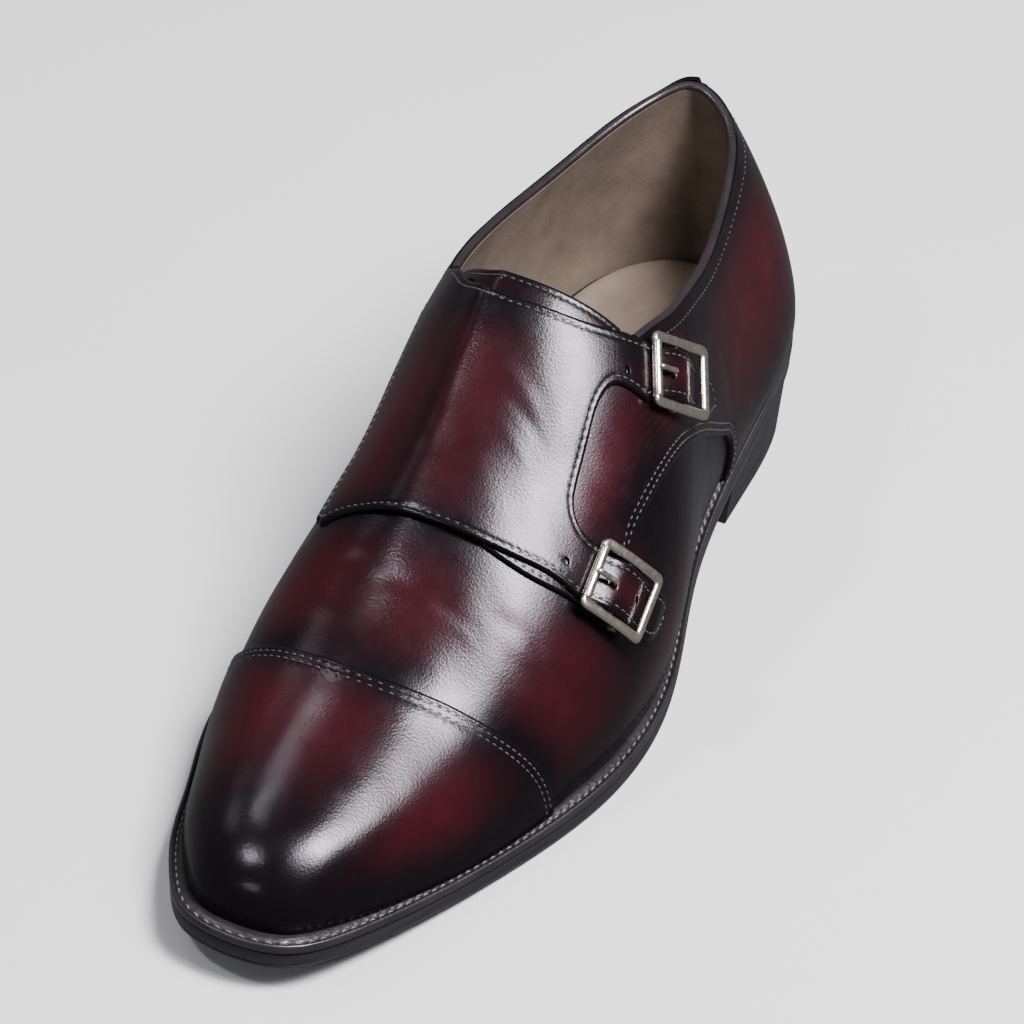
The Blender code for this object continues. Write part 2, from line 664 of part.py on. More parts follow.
def make_plate(name, outline, low, high, material, collection, hole=None, low_outline=None):
    """A flat-cut piece whose faces follow two heights along the shoe."""
    lines = [outline] if hole is None else [outline, hole]
    points = np.vstack(lines)
    edges = []
    start = 0
    for line in lines:
        edges += [(start + i, start + (i + 1) % len(line)) for i in range(len(line))]
        start += len(line)
    inner = grid_points(outline.min(axis=0), outline.max(axis=0), PLATE_SPACING)
    starts = points[[edge[0] for edge in edges]]
    ends = points[[edge[1] for edge in edges]]
    keep = inside(inner, outline) & (distance_to(inner, starts, ends) > NEAREST * PLATE_SPACING)
    if hole is not None:
        keep &= ~inside(inner, hole)
    flat, faces = triangulate(np.vstack([points, inner[keep]]), edges)
    middle = flat[faces].mean(axis=1)
    wanted = inside(middle, outline)
    if hole is not None:
        wanted &= ~inside(middle, hole)
    top = np.column_stack([flat, np.broadcast_to(high(flat[:, 1]), len(flat))])
    bottom = np.column_stack([flat, np.broadcast_to(low(flat[:, 1]), len(flat))])
    if low_outline is not None:
        bottom[:len(outline), :2] = low_outline
    closed, joined = close_layer(faces[wanted], bottom, top)
    return make_object(name, on_floor(closed), joined, material, collection)


def make_sole(last, materials, collection):
    """Outsole, welt and insole."""
    table = np.array(WELT_TABLE)
    reach = spline(table[:, 0] * LAST_LENGTH, table[:, 1:] * WELT_REACH)

    def welt_reach(y):
        return reach(np.clip(y, 0, LAST_LENGTH))[..., 0]

    outline = last.outline(welt_reach)
    make_plate("outsole", last.outline(lambda y: welt_reach(y) - OUTSOLE_INSET), underside,
               lambda y: underside(y) + OUTSOLE, materials["sole"], collection)
    make_plate("welt", outline, lambda y: underside(y) + OUTSOLE + GAP,
               lambda y: underside(y) + OUTSOLE + GAP + WELT, materials["welt"], collection,
               hole=last.outline(lambda y: np.full_like(y, -WELT_INNER), WELT_HOLE_POINTS))
    make_plate("insole", last.outline(lambda y: np.full_like(y, -INSOLE_INSET)), edge_height,
               lambda y: edge_height(y) + INSOLE, materials["lining"], collection)
    make_heel(last, welt_reach, materials["heel"], collection)


def heel_outline(last, welt_reach, height):
    """Plan of the heel at a height, cut straight at the breast."""
    inset = HEEL_INSET + HEEL_TAPER * (1 - height / HEEL_HEIGHT)
    outline = last.outline(lambda y: welt_reach(y) - OUTSOLE_INSET - inset, 2 * SOLE_POINTS)
    breast = BREAST * LAST_LENGTH
    kept = []
    for start, end in zip(outline, np.roll(outline, -1, axis=0)):
        if start[1] < breast:
            kept.append(start)
        if (start[1] < breast) != (end[1] < breast):
            share = (breast - start[1]) / (end[1] - start[1])
            kept.append(start + share * (end - start))
    corners = [i for i, point in enumerate(kept) if abs(point[1] - breast) < 1e-9]
    around = np.array(kept[corners[1]:] + kept[:corners[0] + 1])
    knots = chord_knots(around)
    places = np.linspace(0, knots[-1], HEEL_POINTS)
    side = np.stack([np.interp(places, knots, around[:, axis]) for axis in (0, 1)], axis=1)
    share = np.linspace(0, 1, BREAST_POINTS + 2)[1:-1, None]
    return np.vstack([side, side[-1] + share * (side[0] - side[-1])])


def make_heel(last, welt_reach, material, collection):
    """Heel stack below the outsole and the top piece below the stack."""
    def level(height):
        return lambda y: np.full_like(y, height)

    seat = heel_outline(last, welt_reach, HEEL_HEIGHT)
    joint = heel_outline(last, welt_reach, TOP_PIECE)
    floor = heel_outline(last, welt_reach, 0.0)
    make_plate("heel_stack", seat, level(TOP_PIECE + GAP), lambda y: underside(y) - GAP,
               material, collection, low_outline=joint)
    make_plate("heel_top_piece", joint, level(0.0), level(TOP_PIECE), material, collection,
               low_outline=floor)


def make_upper(net, materials, collection):
    """Upper, toe cap, quarters and tongue."""
    leather = materials["leather"]
    seated = GAP + OVERLAY
    make_layer("upper", net, net.outside(net.collar), -UPPER_WALL, 0.0, leather, collection)
    cap = np.vstack([net.cap_seam, [(2 * net.last.ridge_length, net.cap_seam[-1, 1]),
                                    (2 * net.last.ridge_length, net.cap_seam[0, 1])]])
    make_layer("toe_cap", net, net.within(cap), GAP, seated, leather, collection)
    make_layer("lateral_quarter", net, net.within(net.lateral_quarter), GAP, seated, leather,
               collection, shift=-GAP / 2)
    start, end = PANEL_RAMP
    low = GAP + seated * ease((net.flat[:, 1] - start) / (end - start))
    lower = net.buckles[1]
    along, across = lower.read(net.flat).T
    settled = ease((along - STRAP_END_DROP) / (lower.reach - STRAP_END_DROP))
    low -= np.where(np.abs(across) < FRAME_ACROSS, settled, 0) * seated * (net.flat[:, 1] > 0)
    low += sum(buckle.hump(net.flat) for buckle in net.buckles)
    quarter = make_layer("medial_quarter", net, net.within(net.medial_quarter), low, low + OVERLAY,
                         leather, collection, shift=GAP / 2)
    under = -UPPER_WALL - GAP
    make_layer("tongue", net, net.within(net.tongue), under - TONGUE, under, leather, collection)
    return quarter


def rounded_rectangle(along, across, radius, steps):
    """Points round a rectangle with round corners."""
    points = []
    for corner in range(4):
        sign_along = 1 if corner in (0, 3) else -1
        sign_across = 1 if corner in (0, 1) else -1
        for step in range(steps + 1):
            angle = math.radians(90 * (corner + step / steps))
            points.append((sign_along * (along / 2 - radius) + radius * math.cos(angle),
                           sign_across * (across / 2 - radius) + radius * math.sin(angle)))
    return np.array(points)


def ring_points(along, across, radius):
    """Rounded rectangle with added points on its straight sides."""
    corners = rounded_rectangle(along, across, radius, 3)
    points = []
    for start, end in zip(corners, np.roll(corners, -1, axis=0)):
        gap = np.linalg.norm(end - start)
        pieces = 4 if gap > 2 * FRAME_BAR else 1
        points += [start + (end - start) * i / pieces for i in range(pieces)]
    return np.array(points)


def make_buckle(buckle, quarter, materials, collection, cutters):
    """Frame with its centre bar, and the prong that passes through the strap."""
    strap_top = 2 * (GAP + OVERLAY) + GAP
    bar_place = (FRAME_ALONG - FRAME_BAR) / 2
    half = FRAME_ACROSS / 2 - FRAME_BAR
    reach = (-FRAME_ALONG / 2, -bar_place, -FRAME_ALONG / 2 + FRAME_BAR)
    spread = (-half, 0, half)
    left = strap_top + max(buckle.height(a, c) for a in reach for c in spread)
    right = strap_top + buckle.far_gap + max(buckle.height(-a, c) for a in reach for c in spread)
    middle = strap_top + max(buckle.height(0, c) for c in spread)
    bow = (left + right) / 2 - middle

    def underside_at(along):
        share = along / bar_place
        return middle + bow * share ** 2 + (right - left) / 2 * share

    outer = ring_points(FRAME_ALONG, FRAME_ACROSS, FRAME_CORNER)
    inner = ring_points(FRAME_ALONG - 2 * FRAME_BAR, FRAME_ACROSS - 2 * FRAME_BAR, FRAME_CORNER / 3)
    count = len(outer)
    points = [(a, c, underside_at(a)) for a, c in np.vstack([outer, inner])]
    faces = [(i, (i + 1) % count, count + (i + 1) % count, count + i) for i in range(count)]
    mesh = bpy.data.meshes.new("buckle_frame_" + buckle.name)
    mesh.from_pydata(points, [], faces)
    mesh.materials.append(materials["metal"])
    frame = bpy.data.objects.new("buckle_frame_" + buckle.name, mesh)
    frame.matrix_world = buckle.matrix()
    collection.objects.link(frame)
    solid = frame.modifiers.new("thickness", "SOLIDIFY")
    solid.thickness = FRAME_THICK
    solid.offset = 1.0
    edges = frame.modifiers.new("round edges", "BEVEL")
    edges.width = FRAME_BEVEL
    edges.segments = 1
    strap_below = strap_top - GAP - OVERLAY + STRAP_RISE
    bar_height = strap_below - CENTRE_BAR_RADIUS - 2 * GAP
    bar = add_rod("centre bar " + buckle.name, CENTRE_BAR_RADIUS, FRAME_ACROSS - FRAME_BAR,
                  BAR_SIDES, cutters)
    bar.matrix_world = (buckle.matrix() @ Matrix.Translation((0, 0, bar_height))
                        @ Matrix.Rotation(math.pi / 2, 4, "X"))
    joined = frame.modifiers.new("centre bar", "BOOLEAN")
    joined.operation = "UNION"
    joined.solver = "EXACT"
    joined.object = bar
    hole = add_rod("prong hole " + buckle.name, PRONG_HOLE, 2 * STRAP_RISE + OVERLAY,
                   HOLE_SIDES, cutters)
    hole_centre = Matrix.Translation((-PRONG_HOLE_PLACE, 0, strap_top + STRAP_RISE / 2))
    hole.matrix_world = buckle.matrix() @ hole_centre
    cut = quarter.modifiers.new("prong hole " + buckle.name, "BOOLEAN")
    cut.operation = "DIFFERENCE"
    cut.solver = "EXACT"
    cut.object = hole
    make_prong(buckle, bar_height, left + FRAME_THICK, materials["metal"], collection)


def make_prong(buckle, start_height, rest_height, material, collection):
    """Prong from beside the centre bar, up through the strap, to the bar that it rests on."""
    clear = GAP + PRONG_RADIUS
    rest = rest_height + clear
    outer_bar = -(FRAME_ALONG - FRAME_BAR) / 2
    strap = start_height + CENTRE_BAR_RADIUS + 2 * GAP
    route = (
        (-CENTRE_BAR_RADIUS - clear, start_height - GAP),
        (-PRONG_HOLE_PLACE, start_height - GAP),
        (-PRONG_HOLE_PLACE, strap),
        (-PRONG_HOLE_PLACE - GAP, rest + GAP),
        (outer_bar + FRAME_BAR, rest + GAP),
        (outer_bar, rest),
        (outer_bar - FRAME_BAR / 2, rest - GAP),
    )
    curve = bpy.data.curves.new("buckle_prong_" + buckle.name, "CURVE")
    curve.dimensions = "3D"
    line = curve.splines.new("NURBS")
    line.points.add(len(route) - 1)
    for point, (along, height) in zip(line.points, route):
        point.co = (along, 0.0, height, 1.0)
    line.use_endpoint_u = True
    line.order_u = 3
    line.resolution_u = 3
    curve.bevel_depth = PRONG_RADIUS
    curve.bevel_resolution = 1
    curve.use_fill_caps = True
    curve.materials.append(material)
    prong = bpy.data.objects.new("buckle_prong_" + buckle.name, curve)
    prong.matrix_world = buckle.matrix()
    collection.objects.link(prong)


def add_rod(name, radius, length, sides, collection):
    """Cylinder primitive along its own z, kept out of the part."""
    mesh = bpy.data.meshes.new(name)
    shape = bmesh.new()
    bmesh.ops.create_cone(shape, cap_ends=True, segments=sides, radius1=radius, radius2=radius,
                          depth=length)
    shape.to_mesh(mesh)
    shape.free()
    rod = bpy.data.objects.new(name, mesh)
    rod.hide_render = True
    rod.display_type = "WIRE"
    collection.objects.link(rod)
    return rod


def make_materials():
    """Colours of the leather, the sole and the metal."""
    return {
        "leather": make_material("burgundy_leather", (0.115, 0.022, 0.030), 0.28),
        "lining": make_material("taupe_lining", (0.330, 0.215, 0.140), 0.70),
        "welt": make_material("black_welt", (0.018, 0.016, 0.017), 0.45),
        "sole": make_material("charcoal_sole", (0.035, 0.033, 0.035), 0.50),
        "heel": make_material("charcoal_heel", (0.028, 0.026, 0.028), 0.45),
        "metal": make_material("champagne_silver", (0.780, 0.720, 0.620), 0.25, 1.0),
    }


def main():
    """Clear the scene and build the shoe."""
    for item in list(bpy.data.objects):
        bpy.data.objects.remove(item, do_unlink=True)
    collection = bpy.data.collections.new("monk_strap_shoe")
    cutters = bpy.data.collections.new("cutters")
    bpy.context.scene.collection.children.link(collection)
    bpy.context.scene.collection.children.link(cutters)
    materials = make_materials()
    last = Last()
    buckles = [Buckle(last, *row) for row in BUCKLES]
    net = Net(last, buckles)
    make_sole(last, materials, collection)
    quarter = make_upper(net, materials, collection)
    for buckle in buckles:
        make_buckle(buckle, quarter, materials, collection, cutters)


main()
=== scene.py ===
"""Looks of the left double monk strap shoe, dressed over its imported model.

All lengths are in metres, in the part's frame: +Y runs from the heel to the toe,
+X is the medial side, -X the lateral side with the buckles, and +Z is up.

A place on the last is a pair of shares (u, v). u runs along the ridge line, from
the bottom of the heel over the instep to the bottom of the toe. v runs across,
from -1 at the medial edge over 0 on the ridge to 1 at the lateral edge.
"""
import math

import bpy
import numpy as np
from mathutils import Matrix, Vector
from mathutils.geometry import delaunay_2d_cdt
from mathutils.kdtree import KDTree


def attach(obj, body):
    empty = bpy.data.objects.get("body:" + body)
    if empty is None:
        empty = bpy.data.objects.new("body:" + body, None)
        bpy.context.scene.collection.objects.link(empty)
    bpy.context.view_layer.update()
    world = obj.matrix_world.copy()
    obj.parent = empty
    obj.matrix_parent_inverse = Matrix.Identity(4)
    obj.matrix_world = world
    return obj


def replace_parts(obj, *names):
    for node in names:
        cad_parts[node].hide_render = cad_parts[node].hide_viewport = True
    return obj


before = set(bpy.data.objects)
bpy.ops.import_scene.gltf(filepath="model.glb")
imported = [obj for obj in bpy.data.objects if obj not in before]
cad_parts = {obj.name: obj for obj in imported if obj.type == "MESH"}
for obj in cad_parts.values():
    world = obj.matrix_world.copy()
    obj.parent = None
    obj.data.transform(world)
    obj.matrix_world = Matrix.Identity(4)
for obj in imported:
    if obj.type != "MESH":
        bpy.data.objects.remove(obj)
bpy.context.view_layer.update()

# Driving sizes of the shoe.
LAST_LENGTH = 0.2945
BALL_WIDTH = 0.1000
INSTEP_RISE = 0.0880
HEEL_HEIGHT = 0.0235
TOE_SPRING = 0.0083

# Thickness of each leather part, and the gap between two of them.
GAP = 0.00030
UPPER_WALL = 0.0018
OVERLAY = 0.0012
TONGUE = 0.0014
OUTSOLE = 0.0052
WELT = 0.0029
INSOLE = 0.0025
TOP_PIECE = 0.0060

# How far the edges stand in or out.
WELT_REACH = 0.0043
WELT_INNER = 0.0100
OUTSOLE_INSET = 0.0003
INSOLE_INSET = 0.0038
HEEL_INSET = 0.0006
HEEL_TAPER = 0.0015

# Buckles and straps.
FRAME_ACROSS = 0.0212
FRAME_ALONG = 0.0224
FRAME_BAR = 0.0023
FRAME_THICK = 0.0018
FRAME_CORNER = 0.0030
STRAP_CLEARANCE = 0.0010
STRAP_RISE = 0.0026
CENTRE_BAR_RADIUS = 0.0008
PRONG_RADIUS = 0.00085
PRONG_HOLE = 0.0014
PRONG_HOLE_PLACE = 0.0040

# Side view of the sole, in shares of LAST_LENGTH from the heel end of the last.
ORIGIN = 0.136
SEAT_END = 0.060
BREAST = 0.240
BALL_START = 0.537
BALL_END = 0.722
SOLE_TIP = 1.019
TOE_CURVE = 1.8

# Reach of the welt past the upper: (share of LAST_LENGTH, share of WELT_REACH).
WELT_TABLE = (
    (0.00, 0.58), (0.12, 0.51), (0.30, 0.63), (0.45, 0.56),
    (0.66, 1.02), (0.78, 0.81), (0.90, 1.00), (1.00, 1.60),
)

# Sections of the last, from heel to toe. A section joins a point on each edge of
# the foot to a point on the ridge. The columns are
#   edge    place of the edge points, share of LAST_LENGTH
#   medial  medial edge, lateral  lateral edge, shares of BALL_WIDTH
#   top     place of the ridge point, share of LAST_LENGTH
#   rise    height of the ridge above the edge, share of INSTEP_RISE
#   lean    ridge's shift to the medial side, share of BALL_WIDTH
#   wall    height up to which the side stays upright, share of the section's rise
#   medial flare, lateral flare   how far each side swells, shares of the section's size
#   medial crown, lateral crown   breadth of the rounded top, shares of the half width
LAST_TABLE = (
    (0.003, 0.010, -0.010, 0.003, 0.000, 0.010, 0.50, 0.00, 0.00, 0.40, 0.40),
    (0.011, 0.138, 0.147, -0.003, 0.138, -0.005, 0.52, 0.04, 0.04, 0.64, 0.64),
    (0.031, 0.218, 0.226, -0.002, 0.265, 0.013, 0.46, 0.06, 0.06, 0.54, 0.54),
    (0.061, 0.281, 0.289, 0.004, 0.460, 0.049, 0.40, 0.07, 0.07, 0.47, 0.47),
    (0.109, 0.337, 0.331, 0.012, 0.690, 0.093, 0.33, 0.08, 0.08, 0.38, 0.38),
    (0.177, 0.373, 0.348, 0.042, 0.875, 0.128, 0.29, 0.09, 0.09, 0.29, 0.29),
    (0.265, 0.378, 0.359, 0.129, 1.028, 0.158, 0.30, 0.15, 0.10, 0.28, 0.34),
    (0.357, 0.373, 0.396, 0.285, 1.134, 0.169, 0.38, 0.23, 0.09, 0.34, 0.60),
    (0.458, 0.382, 0.482, 0.421, 1.081, 0.143, 0.46, 0.23, 0.09, 0.42, 0.66),
    (0.560, 0.426, 0.529, 0.543, 0.871, 0.106, 0.50, 0.16, 0.10, 0.48, 0.57),
    (0.662, 0.473, 0.505, 0.655, 0.653, 0.076, 0.60, 0.07, 0.07, 0.54, 0.54),
    (0.754, 0.469, 0.436, 0.754, 0.466, 0.052, 0.65, -0.01, -0.01, 0.58, 0.58),
    (0.842, 0.393, 0.344, 0.846, 0.349, 0.041, 0.67, -0.03, -0.03, 0.62, 0.62),
    (0.917, 0.310, 0.242, 0.920, 0.264, 0.036, 0.66, -0.02, -0.02, 0.66, 0.66),
    (0.964, 0.223, 0.161, 0.968, 0.186, 0.035, 0.65, 0.00, 0.00, 0.66, 0.66),
    (0.990, 0.148, 0.091, 0.993, 0.093, 0.034, 0.59, 0.01, 0.01, 0.61, 0.61),
    (0.999, 0.040, -0.040, 0.999, 0.000, 0.040, 0.50, 0.00, 0.00, 0.40, 0.40),
)

# Outlines on the last, as (u, v).
COLLAR = (
    (0.165, 0.00), (0.175, -0.22), (0.198, -0.36), (0.250, -0.465), (0.323, -0.490),
    (0.412, -0.455), (0.442, -0.42), (0.472, -0.35), (0.503, -0.22), (0.524, 0.02),
    (0.518, 0.14), (0.505, 0.24), (0.488, 0.32), (0.472, 0.355), (0.454, 0.38),
    (0.416, 0.43), (0.370, 0.465), (0.310, 0.487), (0.254, 0.465), (0.198, 0.36), (0.175, 0.24),
)
COLLAR_MEDIAL_END = 0.442
COLLAR_LATERAL_END = 0.472
PANEL_TOP = (
    (0.454, -0.385), (0.470, -0.32), (0.494, -0.228), (0.510, -0.10), (0.515, 0.017),
    (0.510, 0.130), (0.501, 0.217), (0.487, 0.295),
)
NOTCH = (
    (0.511, 0.375), (0.518, 0.340), (0.525, 0.325), (0.535, 0.317), (0.549, 0.317),
    (0.574, 0.331), (0.602, 0.349), (0.617, 0.372), (0.623, 0.405),
)
PANEL_FRONT = (
    (0.667, 0.405), (0.674, 0.317), (0.680, 0.219), (0.683, 0.110), (0.685, 0.00),
    (0.685, -0.12), (0.684, -0.25), (0.682, -0.36), (0.680, -0.47),
)
WAIST_SEAM = (
    (0.672, -0.515), (0.645, -0.515), (0.608, -0.497), (0.541, -0.490), (0.490, -0.492),
    (0.468, -0.508), (0.453, -0.56), (0.438, -0.67), (0.428, -0.82), (0.424, -1.04),
)
QUARTER_HIDDEN = (
    (0.492, 0.27), (0.518, 0.20), (0.533, 0.10), (0.550, 0.05), (0.600, 0.05), (0.660, 0.05),
)
QUARTER_FRONT = (
    (0.672, 0.07), (0.680, 0.16), (0.682, 0.25), (0.678, 0.37), (0.668, 0.47), (0.656, 0.555),
    (0.637, 0.592), (0.614, 0.582), (0.594, 0.551), (0.568, 0.541), (0.530, 0.552),
    (0.481, 0.592), (0.439, 0.65), (0.390, 0.72), (0.335, 0.785), (0.300, 0.84), (0.285, 0.92),
    (0.280, 1.04),
)
TONGUE_TOP = (
    (0.454, -0.367), (0.473, -0.27), (0.488, -0.161), (0.494, -0.03),
    (0.492, 0.08), (0.483, 0.21), (0.472, 0.325),
)
TONGUE_FRONT = (
    (0.540, 0.31), (0.600, 0.29), (0.650, 0.20), (0.662, 0.0),
    (0.650, -0.22), (0.600, -0.33), (0.520, -0.37),
)
CAP_SEAM = (
    (0.739, -1.04), (0.758, -0.82), (0.776, -0.654), (0.787, -0.45), (0.794, -0.24),
    (0.798, -0.03), (0.797, 0.14), (0.791, 0.335), (0.783, 0.512), (0.772, 0.665),
    (0.762, 0.80), (0.753, 1.04),
)

# Where the panel's leather rises onto the lateral quarter, measured across the last.
PANEL_RAMP = (-0.022, -0.004)

# Tips of the straps, as shares of half the strap's width: back from the end, sideways.
POINTED_TIP = ((0.30, 0.35), (0.00, 0.00), (0.30, -0.35))
ROUND_TIP = ((0.25, 0.66), (0.00, 0.22), (0.00, -0.22), (0.25, -0.66))

# Buckles: name, place on the last as (u, v), turn from straight across in degrees,
# length of the strap past the buckle's centre, how far its end drifts to the heel,
# the tip's shape, half the strap's width on the heel and toe sides where it enters
# the buckle, and how far the frame's far bar stands off the strap.
BUCKLES = (
    ("upper", (0.459, 0.480), -43.5, 0.0285, 0.0060, POINTED_TIP, (0.0082, 0.0082), 0.0020),
    ("lower", (0.629, 0.573), -22.5, 0.0225, 0.0035, ROUND_TIP, (0.0084, 0.0073), 0.0004),
)
# Place along the lower strap from which it sinks onto the upper.
STRAP_END_DROP = 0.0150

# Distance between the points of a surface, of an outline and of a strap here.
SPACING = 0.0020
LINING_SPACING = 0.0034
FILL_SPACING = 0.006
LINE_STEP = 0.0012
STRAP_STEP = 0.0032
SOLE_POINTS = 560
HEEL_POINTS = 150
BREAST_POINTS = 22

# Nets are joined up in millimetres, where points this near to each other are one.
MILLIMETRE = 0.001
MERGE = 0.00002

# Rows of points beside a seam, the radius to which a cut edge is rounded, and the
# share of its thickness that stays upright there.
SEAM_ROWS = (0.00022, 0.0005, 0.0009, 0.0014, 0.0019, 0.0024, 0.0030, 0.0036, 0.0042)
EDGE_ROUND = 0.0010
EDGE_STEP = 0.22

# Undersides of the vamp and the lining, and how far an overlay's underside stands up.
VAMP_LOW = -0.0009
LINING_TOP = -0.00095
OVERLAY_LOW = 0.00004

# Lifts above the heel's top piece, and how much lower than it the lift on the floor ends.
HEEL_LIFTS = 3
TOP_LIFT_GAP = 0.0002

# Stitches: pitch, length, radius, depth of the leather's dip, and rows from a seam.
STITCH_PITCH = 0.0027
STITCH_LENGTH = 0.0019
STITCH_RADIUS = 0.00024
STITCH_DIP = 0.00022
FIRST_ROW = 0.0019
SECOND_ROW = 0.0036
DOUBLE_ROW = (FIRST_ROW, SECOND_ROW)
COLLAR_ROW = 0.0032

# How far a thread sinks into the leather.
THREAD_SINK = 0.00005

# Stitches and wheeled marks of the welt: pitch, distance from the edge, share of the
# welt's height, length, radius, and depth of a mark.
WELT_PITCH = 0.0030
WELT_ROW = 0.0019
WELT_SEAT = 0.86
WELT_STITCH_LENGTH = 0.0021
WELT_STITCH_RADIUS = 0.00028
WELT_MARK = 0.00016

# Rolled edge of the collar, and the strip over the back seam.
BEAD_RADIUS = 0.00135
BEAD_SINK = 0.00035
TAB_WIDTH = 0.0085
TAB_LENGTH = 0.0150
TAB_THICK = 0.0009
TAB_DROP = 0.0012

# Soft creases of the leather: (u, v) of both ends, half width and height in millimetres.
CREASES = (
    (0.712, -0.42, 0.722, -0.05, 2.2, -0.154),
    (0.722, -0.36, 0.733, 0.02, 1.8, 0.112),
    (0.733, -0.10, 0.738, 0.28, 2.0, -0.140),
    (0.742, 0.02, 0.746, 0.36, 1.6, 0.098),
    (0.722, 0.30, 0.712, 0.58, 2.2, -0.140),
    (0.741, 0.38, 0.730, 0.66, 1.8, -0.098),
    (0.757, -0.48, 0.768, -0.12, 2.0, -0.098),
    (0.560, 0.05, 0.585, 0.22, 1.8, 0.098),
    (0.578, 0.08, 0.603, 0.26, 1.6, -0.112),
    (0.596, 0.06, 0.622, 0.25, 1.8, 0.084),
    (0.625, -0.30, 0.640, 0.02, 2.2, -0.112),
    (0.530, -0.30, 0.545, -0.02, 2.2, -0.084),
    (0.330, 0.62, 0.300, 0.80, 3.0, -0.154),
    (0.345, -0.60, 0.310, -0.80, 3.0, -0.154),
    (0.400, -0.62, 0.370, -0.84, 2.6, -0.126),
)

# Slow waves of the leather: height, length along, length across, start of the wave.
WAVES = (
    (0.00006, 0.061, 0.043, 0.3), (0.00003, 0.023, 0.019, 1.9), (0.000015, 0.013, 0.017, 4.0),
)

# How far the black reaches from the sole, cap seam and collar, and from a piece's own edge.
BLACK_REACH = (0.009, 0.0065, 0.008)
OWN_BLACK_REACH = 0.0055

# Burgundy places in the black burnish: (u, v), half lengths in u and v, strength.
RED_PLACES = (
    (0.838, -0.42, 0.050, 0.46, 1.00),
    (0.842, 0.02, 0.046, 0.22, 0.90),
    (0.858, 0.64, 0.046, 0.22, 1.00),
    (0.735, -0.50, 0.046, 0.40, 1.00),
    (0.738, 0.09, 0.040, 0.18, 0.95),
    (0.716, 0.60, 0.060, 0.26, 0.80),
    (0.592, -0.34, 0.084, 0.20, 1.00),
    (0.600, 0.05, 0.078, 0.11, 0.92),
    (0.548, -0.06, 0.036, 0.18, 0.55),
    (0.575, 0.385, 0.066, 0.060, 1.00),
    (0.215, 0.60, 0.100, 0.19, 0.95),
    (0.215, -0.60, 0.100, 0.19, 0.95),
    (0.455, 0.480, 0.034, 0.08, 0.90),
    (0.628, 0.580, 0.034, 0.09, 0.90),
    (0.560, 0.88, 0.080, 0.10, 0.50),
    (0.560, -0.86, 0.080, 0.12, 0.50),
    (0.470, -0.05, 0.034, 0.34, 1.00),
)

# Buckles: width of the side bars, and radius and depth in them of the rolled bar.
SIDE_BAR = 0.0029
ROLLER_RADIUS = 0.00135
ROLLER_ENTRY = 0.0002

# Half the gap of the closed back seam.
SEAM_GAP = 0.00001

# Spare holes of the straps, along each strap from its buckle's centre.
SPARE_HOLES = {"upper": (-0.0180, 0.0050), "lower": (-0.0165, 0.0050)}
SPARE_HOLE_RADIUS = 0.00085

# How round the strap's top is over the centre bar, less for a broader one, and the
# depth of the holes.
HUMP_POWER = 1.3
HOLE_DEPTH = 0.0011

# Studio: name, direction from the shoe, distance, width, height, watts, shape.
LIGHTS = (
    ("softbox", (-0.48, 0.03, 0.88), 1.5, 0.64, 0.80, 29, "RECTANGLE"),
    ("softbox_core", (-0.42, 0.03, 0.90), 1.45, 0.25, 0.60, 37, "RECTANGLE"),
    ("fill", (0.75, -0.10, 0.66), 2.2, 0.5, 0.5, 1.5, "RECTANGLE"),
    ("lamp_high", (0.49, -0.18, 0.86), 1.3, 0.12, 0.12, 1.1, "DISK"),
    ("lamp_toe", (0.37, 0.40, 0.84), 1.3, 0.12, 0.12, 3.6, "DISK"),
    ("lamp_front", (0.19, 0.88, 0.43), 1.6, 0.10, 0.10, 1.2, "DISK"),
)

# Sky, colour of the lamps and the point they look at, half the floor and its two shades.
WORLD_STRENGTH = 0.20
SKY_COLOUR = (0.90, 0.91, 0.94, 1.0)
LIGHT_COLOUR = (0.97, 0.97, 1.0)
LIGHT_AIM = (0.0, 0.11, 0.06)
FLOOR_HALF = 4.0
FLOOR_GREY = (0.73, 0.73, 0.735)
FLOOR_PALE = (0.76, 0.76, 0.765)

# Camera: place, the point it looks at, roll in degrees and lens in millimetres.
CAMERA_PLACE = (-0.4778, 1.1967, 1.0323)
CAMERA_AIM = (-0.004, 0.110, 0.050)
CAMERA_ROLL = 3.2
CAMERA_LENS = 200.0
SENSOR_WIDTH = 36.0
CLIP_END = 50.0


def spline(knots, rows, closed=False):
    """Smooth curve through rows of numbers, returned as a function of the knot value."""
    knots = np.asarray(knots, float)
    rows = np.asarray(rows, float)
    last = len(knots) - 1
    step = np.diff(knots)
    slope = np.diff(rows, axis=0) / step[:, None]
    matrix = np.zeros((last + 1, last + 1))
    right = np.zeros((last + 1, rows.shape[1]))
    for i in range(1, last):
        matrix[i, i - 1:i + 2] = step[i - 1], 2 * (step[i - 1] + step[i]), step[i]
        right[i] = 6 * (slope[i] - slope[i - 1])
    matrix[0, 0] = 1
    matrix[last, last] = 1
    if closed:
        matrix[0, [0, 1, last - 1]] = 2 * (step[0] + step[-1]), step[0], step[-1]
        right[0] = 6 * (slope[0] - slope[-1])
        matrix[last, 0] = -1
    bend = np.linalg.solve(matrix, right)

    def curve(value):
        value = np.asarray(value, float)
        k = np.clip(np.searchsorted(knots, value, side="right") - 1, 0, last - 1)
        before = (value - knots[k])[..., None]
        after = (knots[k + 1] - value)[..., None]
        width = step[k][..., None]
        cubic = (bend[k] * after ** 3 + bend[k + 1] * before ** 3) / (6 * width)
        line = (rows[k] / width - bend[k] * width / 6) * after
        return cubic + line + (rows[k + 1] / width - bend[k + 1] * width / 6) * before

    return curve


def chord_knots(points):
    """Distance along a row of points, from the first to each one."""
    steps = np.linalg.norm(np.diff(points, axis=0), axis=1)
    return np.concatenate([[0.0], np.cumsum(steps)])


